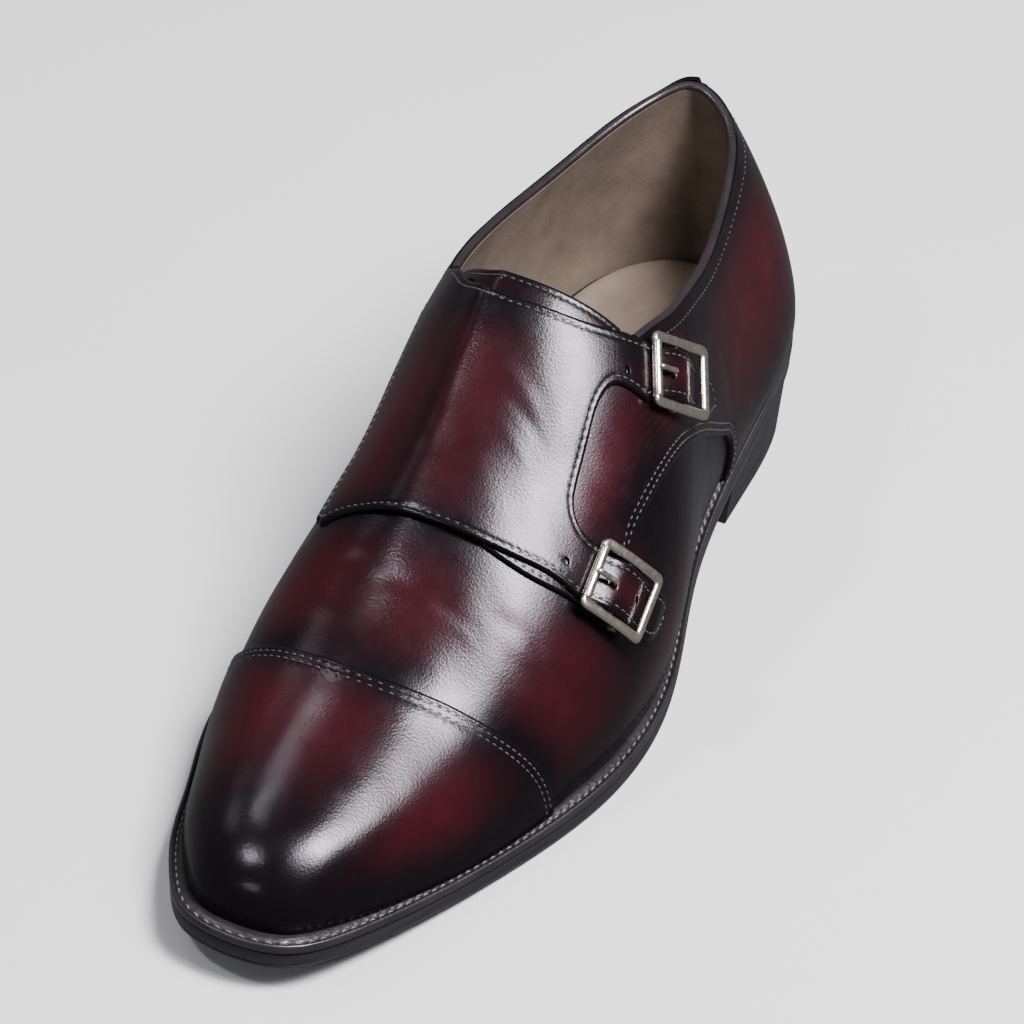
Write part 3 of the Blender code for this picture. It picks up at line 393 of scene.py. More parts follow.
def unit(vectors):
    """Vectors scaled to length one."""
    return vectors / np.linalg.norm(vectors, axis=-1, keepdims=True)


def smooth(points, step, closed=False):
    """Points about one step apart on a smooth curve through the given ones."""
    points = np.asarray(points, float)
    if closed:
        points = np.vstack([points, points[:1]])
    knots = chord_knots(points)
    count = max(2, int(round(knots[-1] / step)))
    places = np.linspace(0, knots[-1], count + 1)
    drawn = spline(knots, points, closed)(places)
    return drawn[:-1] if closed else drawn


def inside(points, polygon):
    """Whether each point lies in a closed polygon."""
    x = points[:, 0][:, None]
    y = points[:, 1][:, None]
    x0, y0 = polygon[:, 0], polygon[:, 1]
    x1, y1 = np.roll(x0, -1), np.roll(y0, -1)
    spans = (y0 > y) != (y1 > y)
    rise = np.where(y1 == y0, 1.0, y1 - y0)
    return (spans & (x < x0 + (y - y0) * (x1 - x0) / rise)).sum(axis=1) % 2 == 1


def ease(value):
    """Soft step from 0 to 1."""
    value = np.clip(value, 0, 1)
    return value * value * (3 - 2 * value)


def underside(y):
    """Height of the outsole's underside, y from the heel end of the last."""
    share = np.asarray(y, float) / LAST_LENGTH
    fall = ease((share - SEAT_END) / (BALL_START - SEAT_END))
    toe = np.clip((share - BALL_END) / (SOLE_TIP - BALL_END), 0, None)
    return HEEL_HEIGHT * (1 - fall) + TOE_SPRING * toe ** TOE_CURVE


def edge_height(y):
    """Height of the upper's bottom edge, above the outsole and the welt."""
    return underside(y) + OUTSOLE + GAP + WELT + GAP


class Last:
    """The form that the upper is pulled over."""

    def __init__(self):
        table = np.array(LAST_TABLE)
        edge, medial, lateral, top, rise, lean = table[:, :6].T
        rows = len(table)
        medial_edge = np.stack([medial * BALL_WIDTH, edge * LAST_LENGTH], axis=1)
        lateral_edge = np.stack([-lateral * BALL_WIDTH, edge * LAST_LENGTH], axis=1)
        loop = np.vstack([medial_edge, lateral_edge[::-1][1:-1], medial_edge[:1]])
        knots = chord_knots(loop)
        self.loop_length = knots[-1]
        self.loop = spline(knots, loop, closed=True)
        height = edge_height(top * LAST_LENGTH) + rise * INSTEP_RISE
        ridge = np.stack([lean * BALL_WIDTH, top * LAST_LENGTH, height], axis=1)
        ridge_knots = chord_knots(ridge)
        self.ridge_length = ridge_knots[-1]
        share = ridge_knots / self.ridge_length
        self.ridge = spline(share, ridge)
        self.medial_place = spline(share, knots[:rows, None])
        self.lateral_place = spline(share, knots[rows - 1:][::-1][:, None])
        self.handles = spline(share, table[:, 6:])
        self.shares = np.linspace(0, 1, 241)
        self.medial_girth = self.measure(-1)
        self.lateral_girth = self.measure(1)

    def measure(self, side):
        """Length over the surface from the ridge to one edge, at each of the shares."""
        across = np.linspace(0, side, 41)
        points = self.surface(self.shares[:, None], across[None, :])
        return np.linalg.norm(np.diff(points, axis=1), axis=2).sum(axis=1)

    def edge(self, place):
        """Point of the bottom edge at a place along its loop."""
        point = self.loop(np.mod(place, self.loop_length))
        return np.concatenate([point, edge_height(point[..., 1:2])], axis=-1)

    def outward(self, place):
        """Level direction that points out of the bottom edge."""
        reach = 0.0005
        ahead = self.loop(np.mod(place + reach, self.loop_length))
        behind = self.loop(np.mod(place - reach, self.loop_length))
        along = unit(ahead - behind)
        return np.stack([along[..., 1], -along[..., 0], np.zeros(along.shape[:-1])], axis=-1)

    def place(self, u, v):
        """Place along the bottom edge's loop at which the section of (u, v) ends."""
        return np.where(v < 0, self.medial_place(u)[..., 0], self.lateral_place(u)[..., 0])

    def surface(self, u, v):
        """Point of the last's surface."""
        u, v = np.broadcast_arrays(np.asarray(u, float), np.asarray(v, float))
        place = self.place(u, v)
        foot = self.edge(place)
        top = self.ridge(u)
        wall, *sides = np.moveaxis(self.handles(u), -1, 0)
        flare = np.where(v < 0, sides[0], sides[1])
        crown = np.where(v < 0, sides[2], sides[3])
        size = np.linalg.norm(top - foot, axis=-1)
        low = foot + self.outward(place) * (flare * size)[..., None]
        low[..., 2] += wall * (top[..., 2] - foot[..., 2])
        high = top.copy()
        high[..., 0] += crown * (foot[..., 0] - top[..., 0])
        near = np.abs(v)[..., None]
        far = 1 - near
        return (near ** 3 * foot + 3 * near ** 2 * far * low
                + 3 * near * far ** 2 * high + far ** 3 * top)

    def normal(self, u, v):
        """Direction out of the surface, level along the bottom edge."""
        u, v = np.broadcast_arrays(np.asarray(u, float), np.asarray(v, float))
        step = 0.002
        u_in = np.clip(u, 2 * step, 1 - 2 * step)
        v_in = np.clip(v, -1 + step, 1 - step)
        along = self.surface(u_in + step, v_in) - self.surface(u_in - step, v_in)
        across = self.surface(u_in, v_in + step) - self.surface(u_in, v_in - step)
        out = unit(np.cross(along, across))
        level = self.outward(self.place(u, v))
        return np.where(np.abs(v)[..., None] > 0.9999, level, out)

    def girth(self, a, b):
        """Length over the surface from the ridge to the edge on b's side."""
        share = np.asarray(a, float) / self.ridge_length
        medial = np.interp(share, self.shares, self.medial_girth)
        lateral = np.interp(share, self.shares, self.lateral_girth)
        return np.where(np.asarray(b, float) < 0, medial, lateral)

    def flatten(self, outline):
        """Turn (u, v) pairs into lengths along and across the last."""
        outline = np.asarray(outline, float)
        a = outline[:, 0] * self.ridge_length
        return np.stack([a, outline[:, 1] * self.girth(a, outline[:, 1])], axis=1)

    def shares_at(self, flat):
        """Turn lengths along and across the last back into u and v."""
        flat = np.asarray(flat, float)
        u = np.clip(flat[..., 0] / self.ridge_length, 0, 1)
        v = np.clip(flat[..., 1] / self.girth(flat[..., 0], flat[..., 1]), -1, 1)
        return u, v

    def at(self, flat, lift=0.0):
        """Point at a height over the surface, from lengths along and across."""
        u, v = self.shares_at(flat)
        return self.surface(u, v) + self.normal(u, v) * np.asarray(lift, float)[..., None]

    def edge_loop(self, step):
        """The bottom edge in lengths along and across, medial side first."""
        count = int(round(self.loop_length / step))
        places = np.linspace(0, self.loop_length, count, endpoint=False)
        fine = np.linspace(0, 1, 2001)
        toe = self.medial_place(1.0)[0]
        medial = np.interp(places, self.medial_place(fine)[:, 0], fine)
        lateral = np.interp(places, self.lateral_place(fine)[::-1, 0], fine[::-1])
        side = np.where(places <= toe, -1.0, 1.0)
        return self.flatten(np.stack([np.where(places <= toe, medial, lateral), side], axis=1))

    def outline(self, reach, count=SOLE_POINTS):
        """Plan outline, at the reach out from the bottom edge that a function gives for y."""
        places = np.linspace(0, self.loop_length, count, endpoint=False)
        points = self.loop(places)
        return points + self.outward(places)[:, :2] * np.asarray(reach(points[:, 1]))[..., None]


class Buckle:
    """Axes and heights of one buckle, on the surface of the last."""

    def __init__(self, last, name, place, turn, reach, drift, tip, entry, far_gap):
        self.name, self.reach, self.drift, self.tip = name, reach, drift, tip
        self.entry, self.far_gap = entry, far_gap
        self.centre = last.flatten([place])[0]
        self.origin = last.at(self.centre)
        step = 0.001
        along = last.at(self.centre + (step, 0)) - last.at(self.centre - (step, 0))
        across = last.at(self.centre + (0, step)) - last.at(self.centre - (0, step))
        self.up = unit(np.cross(along, across))
        toeward = unit(np.array([0.0, 1.0, 0.0]) - self.up[1] * self.up)
        angle = math.radians(turn)
        self.strap = np.cross(self.up, toeward) * math.cos(angle) + toeward * math.sin(angle)
        self.side = np.cross(self.up, self.strap)
        flat = np.stack([along, across], axis=1) / (2 * step)
        self.to_strap = np.array([self.strap @ flat, self.side @ flat])
        self.to_flat = np.linalg.inv(self.to_strap)
        self.last = last

    def lay(self, points):
        """Turn lengths along and across the strap into lengths on the last."""
        return self.centre + np.asarray(points, float) @ self.to_flat.T

    def read(self, flat):
        """Turn lengths on the last into lengths along and across the strap."""
        return (flat - self.centre) @ self.to_strap.T

    def height(self, along, across):
        """Height of the last's surface over the plane through the buckle's centre."""
        return (self.last.at(self.lay((along, across))) - self.origin) @ self.up

    def to_world(self, points):
        """Turn points in the buckle's own axes into places in the part."""
        axes = np.stack([self.strap, self.side, self.up])
        return np.asarray(points, float) @ axes + on_floor(self.origin)

    def outline(self):
        """The strap's edge, from the side of the heel round its tip."""
        half = FRAME_ACROSS / 2 - FRAME_BAR - STRAP_CLEARANCE
        start = -FRAME_ALONG / 2
        shoulder = self.reach - half
        tip = [(self.reach - back * half, side * half) for back, side in self.tip]
        stations = int(round((shoulder - start) / STRAP_STEP))
        along = np.linspace(start, shoulder, stations + 1)[1:]
        upper = [(start, self.entry[0])] + [(value, half) for value in along]
        lower = [(value, -half) for value in along[::-1]] + [(start, -self.entry[1])]
        points = np.array(upper + tip + lower)
        points[:, 1] += self.drift * np.clip(points[:, 0] / self.reach, 0, 1) ** 2
        return self.lay(points)


def on_floor(points):
    """Move points from the last's own axes to the part's."""
    moved = np.array(points, float)
    moved[..., 1] -= ORIGIN * LAST_LENGTH
    return moved


def triangulate(points, edges):
    """Triangles over all points, with the edges kept, as (points, triangles)."""
    flat = [tuple(value / MILLIMETRE for value in point) for point in points]
    found = delaunay_2d_cdt(flat, edges, [], 0, MERGE / MILLIMETRE)
    placed = np.array([tuple(point) for point in found[0]]) * MILLIMETRE
    faces = np.array(found[2])
    side = placed[faces[:, 1]] - placed[faces[:, 0]]
    other = placed[faces[:, 2]] - placed[faces[:, 0]]
    turned = side[:, 0] * other[:, 1] - side[:, 1] * other[:, 0] < 0
    faces[turned] = faces[turned][:, ::-1]
    return placed, faces


def grid_points(low, high, spacing):
    """Points in rows that are offset by half a step, over a rectangle."""
    rows = np.arange(low[1], high[1], spacing * math.sqrt(0.75))
    columns = np.arange(low[0], high[0], spacing)
    return np.array([(x + spacing / 2 * (i % 2), y) for i, y in enumerate(rows) for x in columns])


def close_layer(faces, low, high):
    """Join a lower and an upper copy of some triangles by a wall round their edges."""
    used = np.unique(faces)
    number = {index: i for i, index in enumerate(used)}
    count = len(used)
    top = [[number[index] + count for index in face] for face in faces]
    bottom = [[number[index] for index in face[::-1]] for face in faces]
    sides = {(face[i], face[(i + 1) % 3]) for face in faces for i in range(3)}
    rim = sorted(side for side in sides if side[::-1] not in sides)
    wall = [(number[b] + count, number[a] + count, number[a], number[b]) for a, b in rim]
    return np.vstack([low[used], high[used]]), top + bottom + wall


def in_blocks(function, points, block=3000):
    """Run a function of many points a block at a time, which keeps its arrays small."""
    parts = [function(points[i:i + block]) for i in range(0, len(points), block)]
    return np.concatenate(parts) if parts else np.zeros(0, bool)


class Line:
    """A row of points on the flat last, with quick distances to it."""

    def __init__(self, points, closed=False):
        self.points = np.asarray(points, float)
        self.closed = closed
        self.tree = KDTree(len(self.points))
        for i, (x, y) in enumerate(self.points):
            self.tree.insert((x, y, 0.0), i)
        self.tree.balance()
        self.knots = chord_knots(self.points)

    def near(self, flat):
        """Distance from each point to the line, and how far along the line that is."""
        found = np.array([self.tree.find((x, y, 0.0))[1] for x, y in flat], int)
        count = len(self.points)
        best = np.full(len(flat), np.inf)
        along = np.zeros(len(flat))
        for shift in (-1, 0):
            if self.closed:
                start = (found + shift) % count
            else:
                start = np.clip(found + shift, 0, count - 2)
            low = self.points[start]
            side = self.points[(start + 1) % count] - low
            size = np.maximum((side ** 2).sum(axis=1), 1e-18)
            share = np.clip(((flat - low) * side).sum(axis=1) / size, 0, 1)
            away = np.linalg.norm(flat - low - share[:, None] * side, axis=1)
            closer = away < best
            best[closer] = away[closer]
            along[closer] = (self.knots[start] + share * np.sqrt(size))[closer]
        return best, along

    def offset(self, reach):
        """Row of points beside the line, to its left for a positive reach."""
        if self.closed:
            along = np.roll(self.points, -1, axis=0) - np.roll(self.points, 1, axis=0)
        else:
            along = np.gradient(self.points, axis=0)
        along = along / np.maximum(np.linalg.norm(along, axis=1, keepdims=True), 1e-12)
        return self.points + reach * np.stack([-along[:, 1], along[:, 0]], axis=1)


class Pattern:
    """Outlines of the leather pieces on the flat last."""

    def __init__(self, last, buckles):
        self.last, self.buckles = last, buckles
        self.edge = Line(last.edge_loop(LINE_STEP), closed=True)
        collar = smooth(last.flatten(COLLAR), LINE_STEP, closed=True)
        self.collar = Line(collar, closed=True)
        u = collar[:, 0] / last.ridge_length
        split = np.argmax(collar[:, 0])
        medial = [i for i in range(split) if u[i] <= COLLAR_MEDIAL_END]
        lateral = [i for i in range(split, len(u)) if u[i] <= COLLAR_LATERAL_END]
        self.medial_collar, self.lateral_collar = collar[medial], collar[lateral]
        back = collar[0]
        self.back_seam = smooth([(0.0, 0.0), (back[0] / 2, 0.0), back], LINE_STEP)
        self.cap_seam = Line(smooth(last.flatten(CAP_SEAM), LINE_STEP))
        self.draw_quarters()
        top = smooth(last.flatten(TONGUE_TOP), LINE_STEP)
        front = smooth(last.flatten(TONGUE_FRONT), LINE_STEP)
        self.tongue_top = Line(top)
        self.tongue = np.vstack([top, front])

    def frame(self, side):
        """Corners far outside the last, from one side of the waist round the heel."""
        wide = 2 * self.last.lateral_girth.max()
        waist = WAIST_SEAM[-1][0] if side < 0 else QUARTER_FRONT[-1][0]
        waist *= self.last.ridge_length
        return np.array([(waist, side * wide), (-wide, side * wide), (-wide, 0.0)])

    def draw_quarters(self):
        """The medial quarter with its straps, and the lateral one below them."""
        last = self.last
        straps = [buckle.outline() for buckle in self.buckles]
        top = np.vstack([self.medial_collar[-1:], last.flatten(PANEL_TOP), straps[0][:1]])
        notch = np.vstack([straps[0][-1:], last.flatten(NOTCH), straps[1][:1]])
        front = np.vstack([straps[1][-1:], last.flatten(PANEL_FRONT)])
        top, notch, front = (smooth(part, LINE_STEP) for part in (top, notch, front))
        upper, lower = (smooth(strap, LINE_STEP) for strap in straps)
        self.waist = smooth(last.flatten(WAIST_SEAM), LINE_STEP)
        line = [top[:-1], upper, notch[1:-1], lower, front[1:], self.waist]
        self.medial_line = Line(np.vstack(line))
        self.medial_quarter = np.vstack([
            self.back_seam[:-1], self.medial_collar[:-1], self.medial_line.points, self.frame(-1),
        ])
        hidden = smooth(np.vstack([self.lateral_collar[:1], last.flatten(QUARTER_HIDDEN)]), LINE_STEP)
        self.quarter_front = smooth(last.flatten(QUARTER_FRONT), LINE_STEP)
        self.lateral_line = Line(np.vstack([hidden, self.quarter_front]))
        self.lateral_quarter = np.vstack([
            self.lateral_line.points, self.frame(1), self.back_seam[:-1],
            self.medial_collar[:1], self.lateral_collar[::-1],
        ])

    def cap(self):
        """Outline of the toe cap, with corners beyond the toe."""
        far = 2 * self.last.ridge_length
        seam = self.cap_seam.points
        return np.vstack([seam, [(far, seam[-1, 1]), (far, seam[0, 1])]])


def bent(line, flat, rows):
    """Dip of the leather along the stitch rows of a seam."""
    away, along = line.near(flat)
    pull = 0.65 + 0.35 * np.cos(2 * math.pi * along / STITCH_PITCH)
    width = 0.0005
    return -STITCH_DIP * pull * sum(np.exp(-((away - row) / width) ** 2) for row in rows)


def creased(last, flat):
    """Height of the soft creases and of the leather's slight unevenness."""
    lift = np.zeros(len(flat))
    for u0, v0, u1, v1, width, height in CREASES:
        start, end = last.flatten([(u0, v0), (u1, v1)])
        side = end - start
        share = ((flat - start) @ side) / (side @ side)
        bow = 0.08 * np.linalg.norm(side) * np.sin(np.clip(share, 0, 1) * math.pi)
        left = unit(np.array([-side[1], side[0]]))
        away = (flat - start) @ left - bow
        fade = ease(share / 0.3) * ease((1 - share) / 0.3)
        lift += height * MILLIMETRE * fade * np.exp(-(away / (width * MILLIMETRE)) ** 2)
    a, b = flat.T
    for size, long, wide, turn in WAVES:
        along = np.sin(a / long * 2 * math.pi + turn)
        lift += size * along * np.sin(b / wide * 2 * math.pi + 2 * turn)
    return lift


def rolled(away):
    """Share of its thickness that leather has at a distance from its cut edge."""
    share = np.clip(away / EDGE_ROUND, 0, 1)
    return EDGE_STEP + (1 - EDGE_STEP) * np.sqrt(1 - (1 - share) ** 2)


def burnish(pattern, flat, own=None):
    """How black the leather is rubbed, from 0 in the burgundy places to 1 at the seams."""
    last = pattern.last
    u, v = last.shares_at(flat)
    red = np.zeros(len(flat))
    for u0, v0, long, wide, strength in RED_PLACES:
        size = ((u - u0) / long) ** 2 + ((v - v0) / wide) ** 2
        red = np.maximum(red, strength * np.exp(-0.75 * size))
    dark = np.zeros(len(flat))
    seams = list(zip((pattern.edge, pattern.cap_seam, pattern.collar), BLACK_REACH))
    if own is not None:
        seams.append((own, OWN_BLACK_REACH))
    for line, reach in seams:
        dark = np.maximum(dark, np.exp(-(line.near(flat)[0] / reach) ** 2))
    return np.clip(1 - red * (1 - 0.92 * dark), 0, 1)


def cut_net(pattern, keep, free, spacing, holes=()):
    """Triangles over the part of the last that a test keeps, denser beside free edges."""
    last = pattern.last
    borders = [pattern.edge, pattern.collar, Line(pattern.back_seam)]
    points, edges = [], []
    start = 0
    for line in borders + free:
        count = len(line.points)
        edges += [(start + i, start + i + 1) for i in range(count - 1)]
        if line.closed:
            edges.append((start + count - 1, start))
        points.append(line.points)
        start += count

    def away_from(flat):
        return np.min([line.near(flat)[0] for line in free] + [np.full(len(flat), 1.0)], axis=0)

    def apart_from_holes(flat):
        away = [np.linalg.norm(flat - centre, axis=1) - 1.7 * radius for centre, radius in holes]
        return np.min(away, axis=0) > 0 if away else np.full(len(flat), True)

    for line in free:
        for reach in SEAM_ROWS:
            for side in (-1, 1):
                row = line.offset(side * reach)
                row = row[keep(row)]
                row = row[(away_from(row) > 0.95 * reach) & apart_from_holes(row)]
                points.append(row)
    for centre, radius in holes:
        turn = np.linspace(0, 2 * math.pi, 18, endpoint=False)
        circle = np.stack([np.cos(turn), np.sin(turn)], axis=1)
        points += [centre + share * radius * circle for share in (0.45, 0.8, 1.0, 1.15, 1.4)]
        points.append(centre[None])
    across = last.lateral_girth.max()
    inner = grid_points((0.0, -across), (last.ridge_length, across), spacing)
    inner = inner[keep(inner)]
    clear = SEAM_ROWS[-1] + 0.5 * spacing
    inner = inner[(away_from(inner) > clear) & apart_from_holes(inner)]
    for line in borders:
        inner = inner[line.near(inner)[0] > 0.45 * spacing]
    points.append(inner)
    flat, faces = triangulate(np.vstack(points), edges)
    faces = faces[keep(flat[faces].mean(axis=1))]
    return flat, faces


def leather(name, pattern, keep, free, low, high, material, spacing=SPACING, holes=(),
            own=None, shift=0.0):
    """One piece of leather as a closed solid over the last.

    A test says which part of the last to keep, free lines are its cut edges, and low
    and high give the heights of its two faces. own is the line along which it is
    rubbed black, and shift moves its points on the back seam to one side.
    """
    last = pattern.last
    flat, faces = cut_net(pattern, keep, free, spacing, holes)
    u, v = last.shares_at(flat)
    left_over = last.girth(flat[:, 0], flat[:, 1]) - np.abs(flat[:, 1])
    on_edge = left_over < 0.0001
    v[on_edge] = np.where(flat[on_edge, 1] < 0, -1.0, 1.0)
    base, up = last.surface(u, v), last.normal(u, v)
    surfaces = []
    for lift in (low(flat), high(flat)):
        placed = base + up * np.broadcast_to(lift, u.shape)[:, None]
        cut = np.abs(v) == 1
        placed[cut, 2] = edge_height(placed[cut, 1])
        seam = (np.abs(flat[:, 1]) < 1e-6) & (flat[:, 0] < pattern.collar.points[0, 0] + 1e-6)
        placed[seam, 0] += shift
        surfaces.append(placed)
    dark = burnish(pattern, flat, own)
    used = np.unique(faces)
    points, joined = close_layer(faces, *surfaces)
    piece = add_mesh(name, on_floor(points), joined, material)
    layer = piece.data.attributes.new("burnish", "FLOAT", "POINT")
    layer.data.foreach_set("value", np.tile(dark[used], 2).astype(np.float32))
    return piece


def add_mesh(name, points, faces, material, sharp=50):
    """Object from points and faces, which rides on the shoe's one body."""
    mesh = bpy.data.meshes.new(name)
    corners = [tuple(int(i) for i in face) for face in faces]
    mesh.from_pydata(np.asarray(points, float).tolist(), [], corners)
    mesh.materials.append(material)
    mesh.validate()
    piece = bpy.data.objects.new(name, mesh)
    bpy.context.scene.collection.objects.link(piece)
    mesh.shade_smooth()
    mesh.set_sharp_from_angle(angle=math.radians(sharp))
    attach(piece, "root")
    return piece


def between_rings(count, around, closed=False):
    """Quads between rings of points; a closed row of rings joins up with its start."""
    faces = []
    for i in range(count if closed else count - 1):
        low, high = i * around, (i + 1) % count * around
        for k in range(around):
            after = (k + 1) % around
            faces.append((low + k, low + after, high + after, high + k))
    return faces


def end_faces(count, around):
    """The faces that close the first and the last ring."""
    return [tuple(range(around))[::-1], tuple(range((count - 1) * around, count * around))]


def skin(name, rings, material, closed=True, caps=False, sharp=50):
    """Quads between rings of points; the rings join up, or the ends are capped."""
    rings = np.asarray(rings, float)
    count, around = rings.shape[:2]
    faces = between_rings(count, around, closed)
    if caps:
        faces += end_faces(count, around)
    return add_mesh(name, rings.reshape(-1, 3), faces, material, sharp)


def tube(name, route, radius, material, sides=12, ups=None):
    """Round strip along a row of points, closed by its end faces."""
    route = np.asarray(route, float)
    along = unit(np.gradient(route, axis=0))
    up = np.asarray(ups, float) if ups is not None else np.tile([0.0, 0.0, 1.0], (len(route), 1))
    side = unit(np.cross(along, up))
    up = np.cross(side, along)
    radius = np.broadcast_to(radius, len(route))[:, None]
    rings = []
    for turn in np.linspace(0, 2 * math.pi, sides, endpoint=False):
        rings.append(route + radius * (math.cos(turn) * side + math.sin(turn) * up))
    rings = np.transpose(np.array(rings), (1, 0, 2))
    return skin(name, rings, material, closed=False, caps=True)


def stitch_shapes(middle, along, up, length=STITCH_LENGTH, radius=STITCH_RADIUS):
    """Points and faces of many short threads, bent down at both ends."""
    sides, rings = 6, 5
    share = np.linspace(-1, 1, rings)
    turn = np.linspace(0, 2 * math.pi, sides, endpoint=False)
    side = np.cross(along, up)
    grid = []
    for place in share:
        size = radius * (1 - 0.75 * place ** 4)
        for angle in turn:
            grid.append(along * (place * length / 2) + side * (size * math.cos(angle))
                        + up * (size * math.sin(angle) - 1.6 * radius * place ** 2))
    points = middle[:, None] + np.stack(grid, axis=1)
    faces = between_rings(rings, sides) + end_faces(rings, sides)
    size = sides * rings
    joined = [tuple(n * size + i for i in face) for n in range(len(middle)) for face in faces]
    return points.reshape(-1, 3), joined


def stitch_row(last, points, lift, pitch=STITCH_PITCH):
    """Middles, directions and normals of the stitches along a row on the flat last."""
    knots = chord_knots(points)
    places = (np.arange(int(knots[-1] / pitch)) + 0.5) * pitch

    def read(value):
        return np.stack([np.interp(value, knots, points[:, axis]) for axis in (0, 1)], axis=1)

    middle = read(places)
    placed = last.at(middle, lift(middle))
    ahead = last.at(read(places + 0.3 * pitch), lift(middle))
    behind = last.at(read(places - 0.3 * pitch), lift(middle))
    up = last.normal(*last.shares_at(middle))
    return on_floor(placed), unit(ahead - behind), up


def add_stitches(name, rows, material, **sizes):
    """All threads of several rows as one piece."""
    middle, along, up = (np.vstack([row[i] for row in rows]) for i in range(3))
    points, faces = stitch_shapes(middle, along, up, **sizes)
    return add_mesh(name, points, faces, material, sharp=80)


def beside(points, reach, keep, free):
    """Row beside a line, on the side that a test keeps."""
    best = None
    for side in (-1, 1):
        row = Line(points).offset(side * reach)
        row = row[keep(row)]
        row = row[free.near(row)[0] > 0.93 * reach]
        if best is None or len(row) > len(best):
            best = row
    return best


class Nodes:
    """Short way to lay out a material's nodes."""

    def __init__(self, name):
        self.material = bpy.data.materials.new(name)
        self.material.use_nodes = True
        self.tree = self.material.node_tree
        self.shader = self.tree.nodes["Principled BSDF"]
        self.place = self.add("ShaderNodeTexCoord").outputs["Object"]

    def add(self, kind, **values):
        """New node with its options."""
        node = self.tree.nodes.new(kind)
        for key, value in values.items():
            setattr(node, key, value)
        return node

    def link(self, output, socket):
        """Join an output to a socket."""
        self.tree.links.new(output, socket)

    def noise(self, scale, detail=2.0, rough=0.5, stretch=None):
        """Noise over the object's own coordinates, with scale in turns a metre."""
        node = self.add("ShaderNodeTexNoise")
        node.inputs["Scale"].default_value = scale
        node.inputs["Detail"].default_value = detail
        node.inputs["Roughness"].default_value = rough
        place = self.place
        if stretch is not None:
            mapping = self.add("ShaderNodeMapping")
            mapping.inputs["Scale"].default_value = stretch
            self.link(place, mapping.inputs["Vector"])
            place = mapping.outputs["Vector"]
        self.link(place, node.inputs["Vector"])
        return node.outputs["Fac"]

    def cells(self, scale):
        """Distance to the nearest of scattered points."""
        node = self.add("ShaderNodeTexVoronoi")
        node.inputs["Scale"].default_value = scale
        self.link(self.place, node.inputs["Vector"])
        return node.outputs["Distance"]

    def span(self, value, low, high, out_low=0.0, out_high=1.0):
        """Carry a value from one range to another."""
        node = self.add("ShaderNodeMapRange")
        ranges = (("From Min", low), ("From Max", high), ("To Min", out_low), ("To Max", out_high))
        for key, number in ranges:
            node.inputs[key].default_value = number
        self.link(value, node.inputs["Value"])
        return node.outputs["Result"]

    def math(self, operation, first, second):
        """Result of an operation on two values."""
        node = self.add("ShaderNodeMath", operation=operation)
        for socket, value in zip(node.inputs, (first, second)):
            if isinstance(value, (int, float)):
                socket.default_value = value
            else:
                self.link(value, socket)
        return node.outputs["Value"]

    def mix(self, share, first, second):
        """Colour between two, by a share."""
        node = self.add("ShaderNodeMix", data_type="RGBA")
        self.link(share, node.inputs["Factor"])
        for socket, value in ((node.inputs["A"], first), (node.inputs["B"], second)):
            if isinstance(value, tuple):
                socket.default_value = (*value, 1.0)
            else:
                self.link(value, socket)
        return node.outputs["Result"]

    def bump(self, height, depth, under=None):
        """Bump of a depth in metres, on top of another one."""
        node = self.add("ShaderNodeBump")
        node.inputs["Strength"].default_value = 1.0
        node.inputs["Distance"].default_value = depth
        self.link(height, node.inputs["Height"])
        if under is not None:
            self.link(under, node.inputs["Normal"])
        return node.outputs["Normal"]

    def finish(self, colour, rough, normal=None, **sockets):
        """Join the results to the shader, and set its own sockets."""
        self.link(colour, self.shader.inputs["Base Color"])
        self.link(rough, self.shader.inputs["Roughness"])
        if normal is not None:
            self.link(normal, self.shader.inputs["Normal"])
        for key, value in sockets.items():
            self.shader.inputs[key.replace("_", " ")].default_value = value
        return self.material


# Colours of the burnished leather, and of the paler strokes of the brush.
BURGUNDY = (0.023, 0.0021, 0.0044)
BRIGHT_RED = (0.032, 0.0028, 0.0058)
BLACK_PLUM = (0.0024, 0.0014, 0.0021)
STROKE = (0.050, 0.018, 0.022)


def burnished_leather(name, streaks=0.0):
    """Polished calf, rubbed black by hand over burgundy."""
    nodes = Nodes(name)
    layer = nodes.add("ShaderNodeAttribute", attribute_name="burnish")
    dark = layer.outputs["Fac"]
    cloud = nodes.span(nodes.noise(38, 4.0, 0.6), 0.3, 0.7, -0.06, 0.06)
    brushed = nodes.span(nodes.noise(1.0, 3.0, 0.6, (900, 70, 500)), 0.35, 0.65, -0.05, 0.05)
    share = nodes.math("ADD", nodes.math("ADD", dark, cloud), brushed)
    share = nodes.span(share, 0.04, 0.96)
    red = nodes.mix(nodes.span(nodes.noise(75, 3.0), 0.35, 0.70), BURGUNDY, BRIGHT_RED)
    colour = nodes.mix(share, red, BLACK_PLUM)
    if streaks:
        stroke = nodes.span(nodes.noise(1.0, 4.0, 0.65, (1500, 60, 700)), 0.52, 0.72)
        colour = nodes.mix(nodes.math("MULTIPLY", stroke, streaks), colour, STROKE)
    grain = nodes.bump(nodes.cells(1500), 0.000022)
    grain = nodes.bump(nodes.noise(3800, 2.0), 0.000012, grain)
    grain = nodes.bump(nodes.noise(420, 3.0, 0.6), 0.000009, grain)
    grain = nodes.bump(nodes.noise(1.0, 3.0, 0.6, (1100, 160, 900)), 0.000009, grain)
    rough = nodes.span(nodes.noise(130, 4.0, 0.6), 0.3, 0.7, 0.19, 0.25)
    return nodes.finish(colour, rough, grain, Specular_IOR_Level=0.34,
                        Specular_Tint=(0.94, 0.86, 0.95, 1.0))


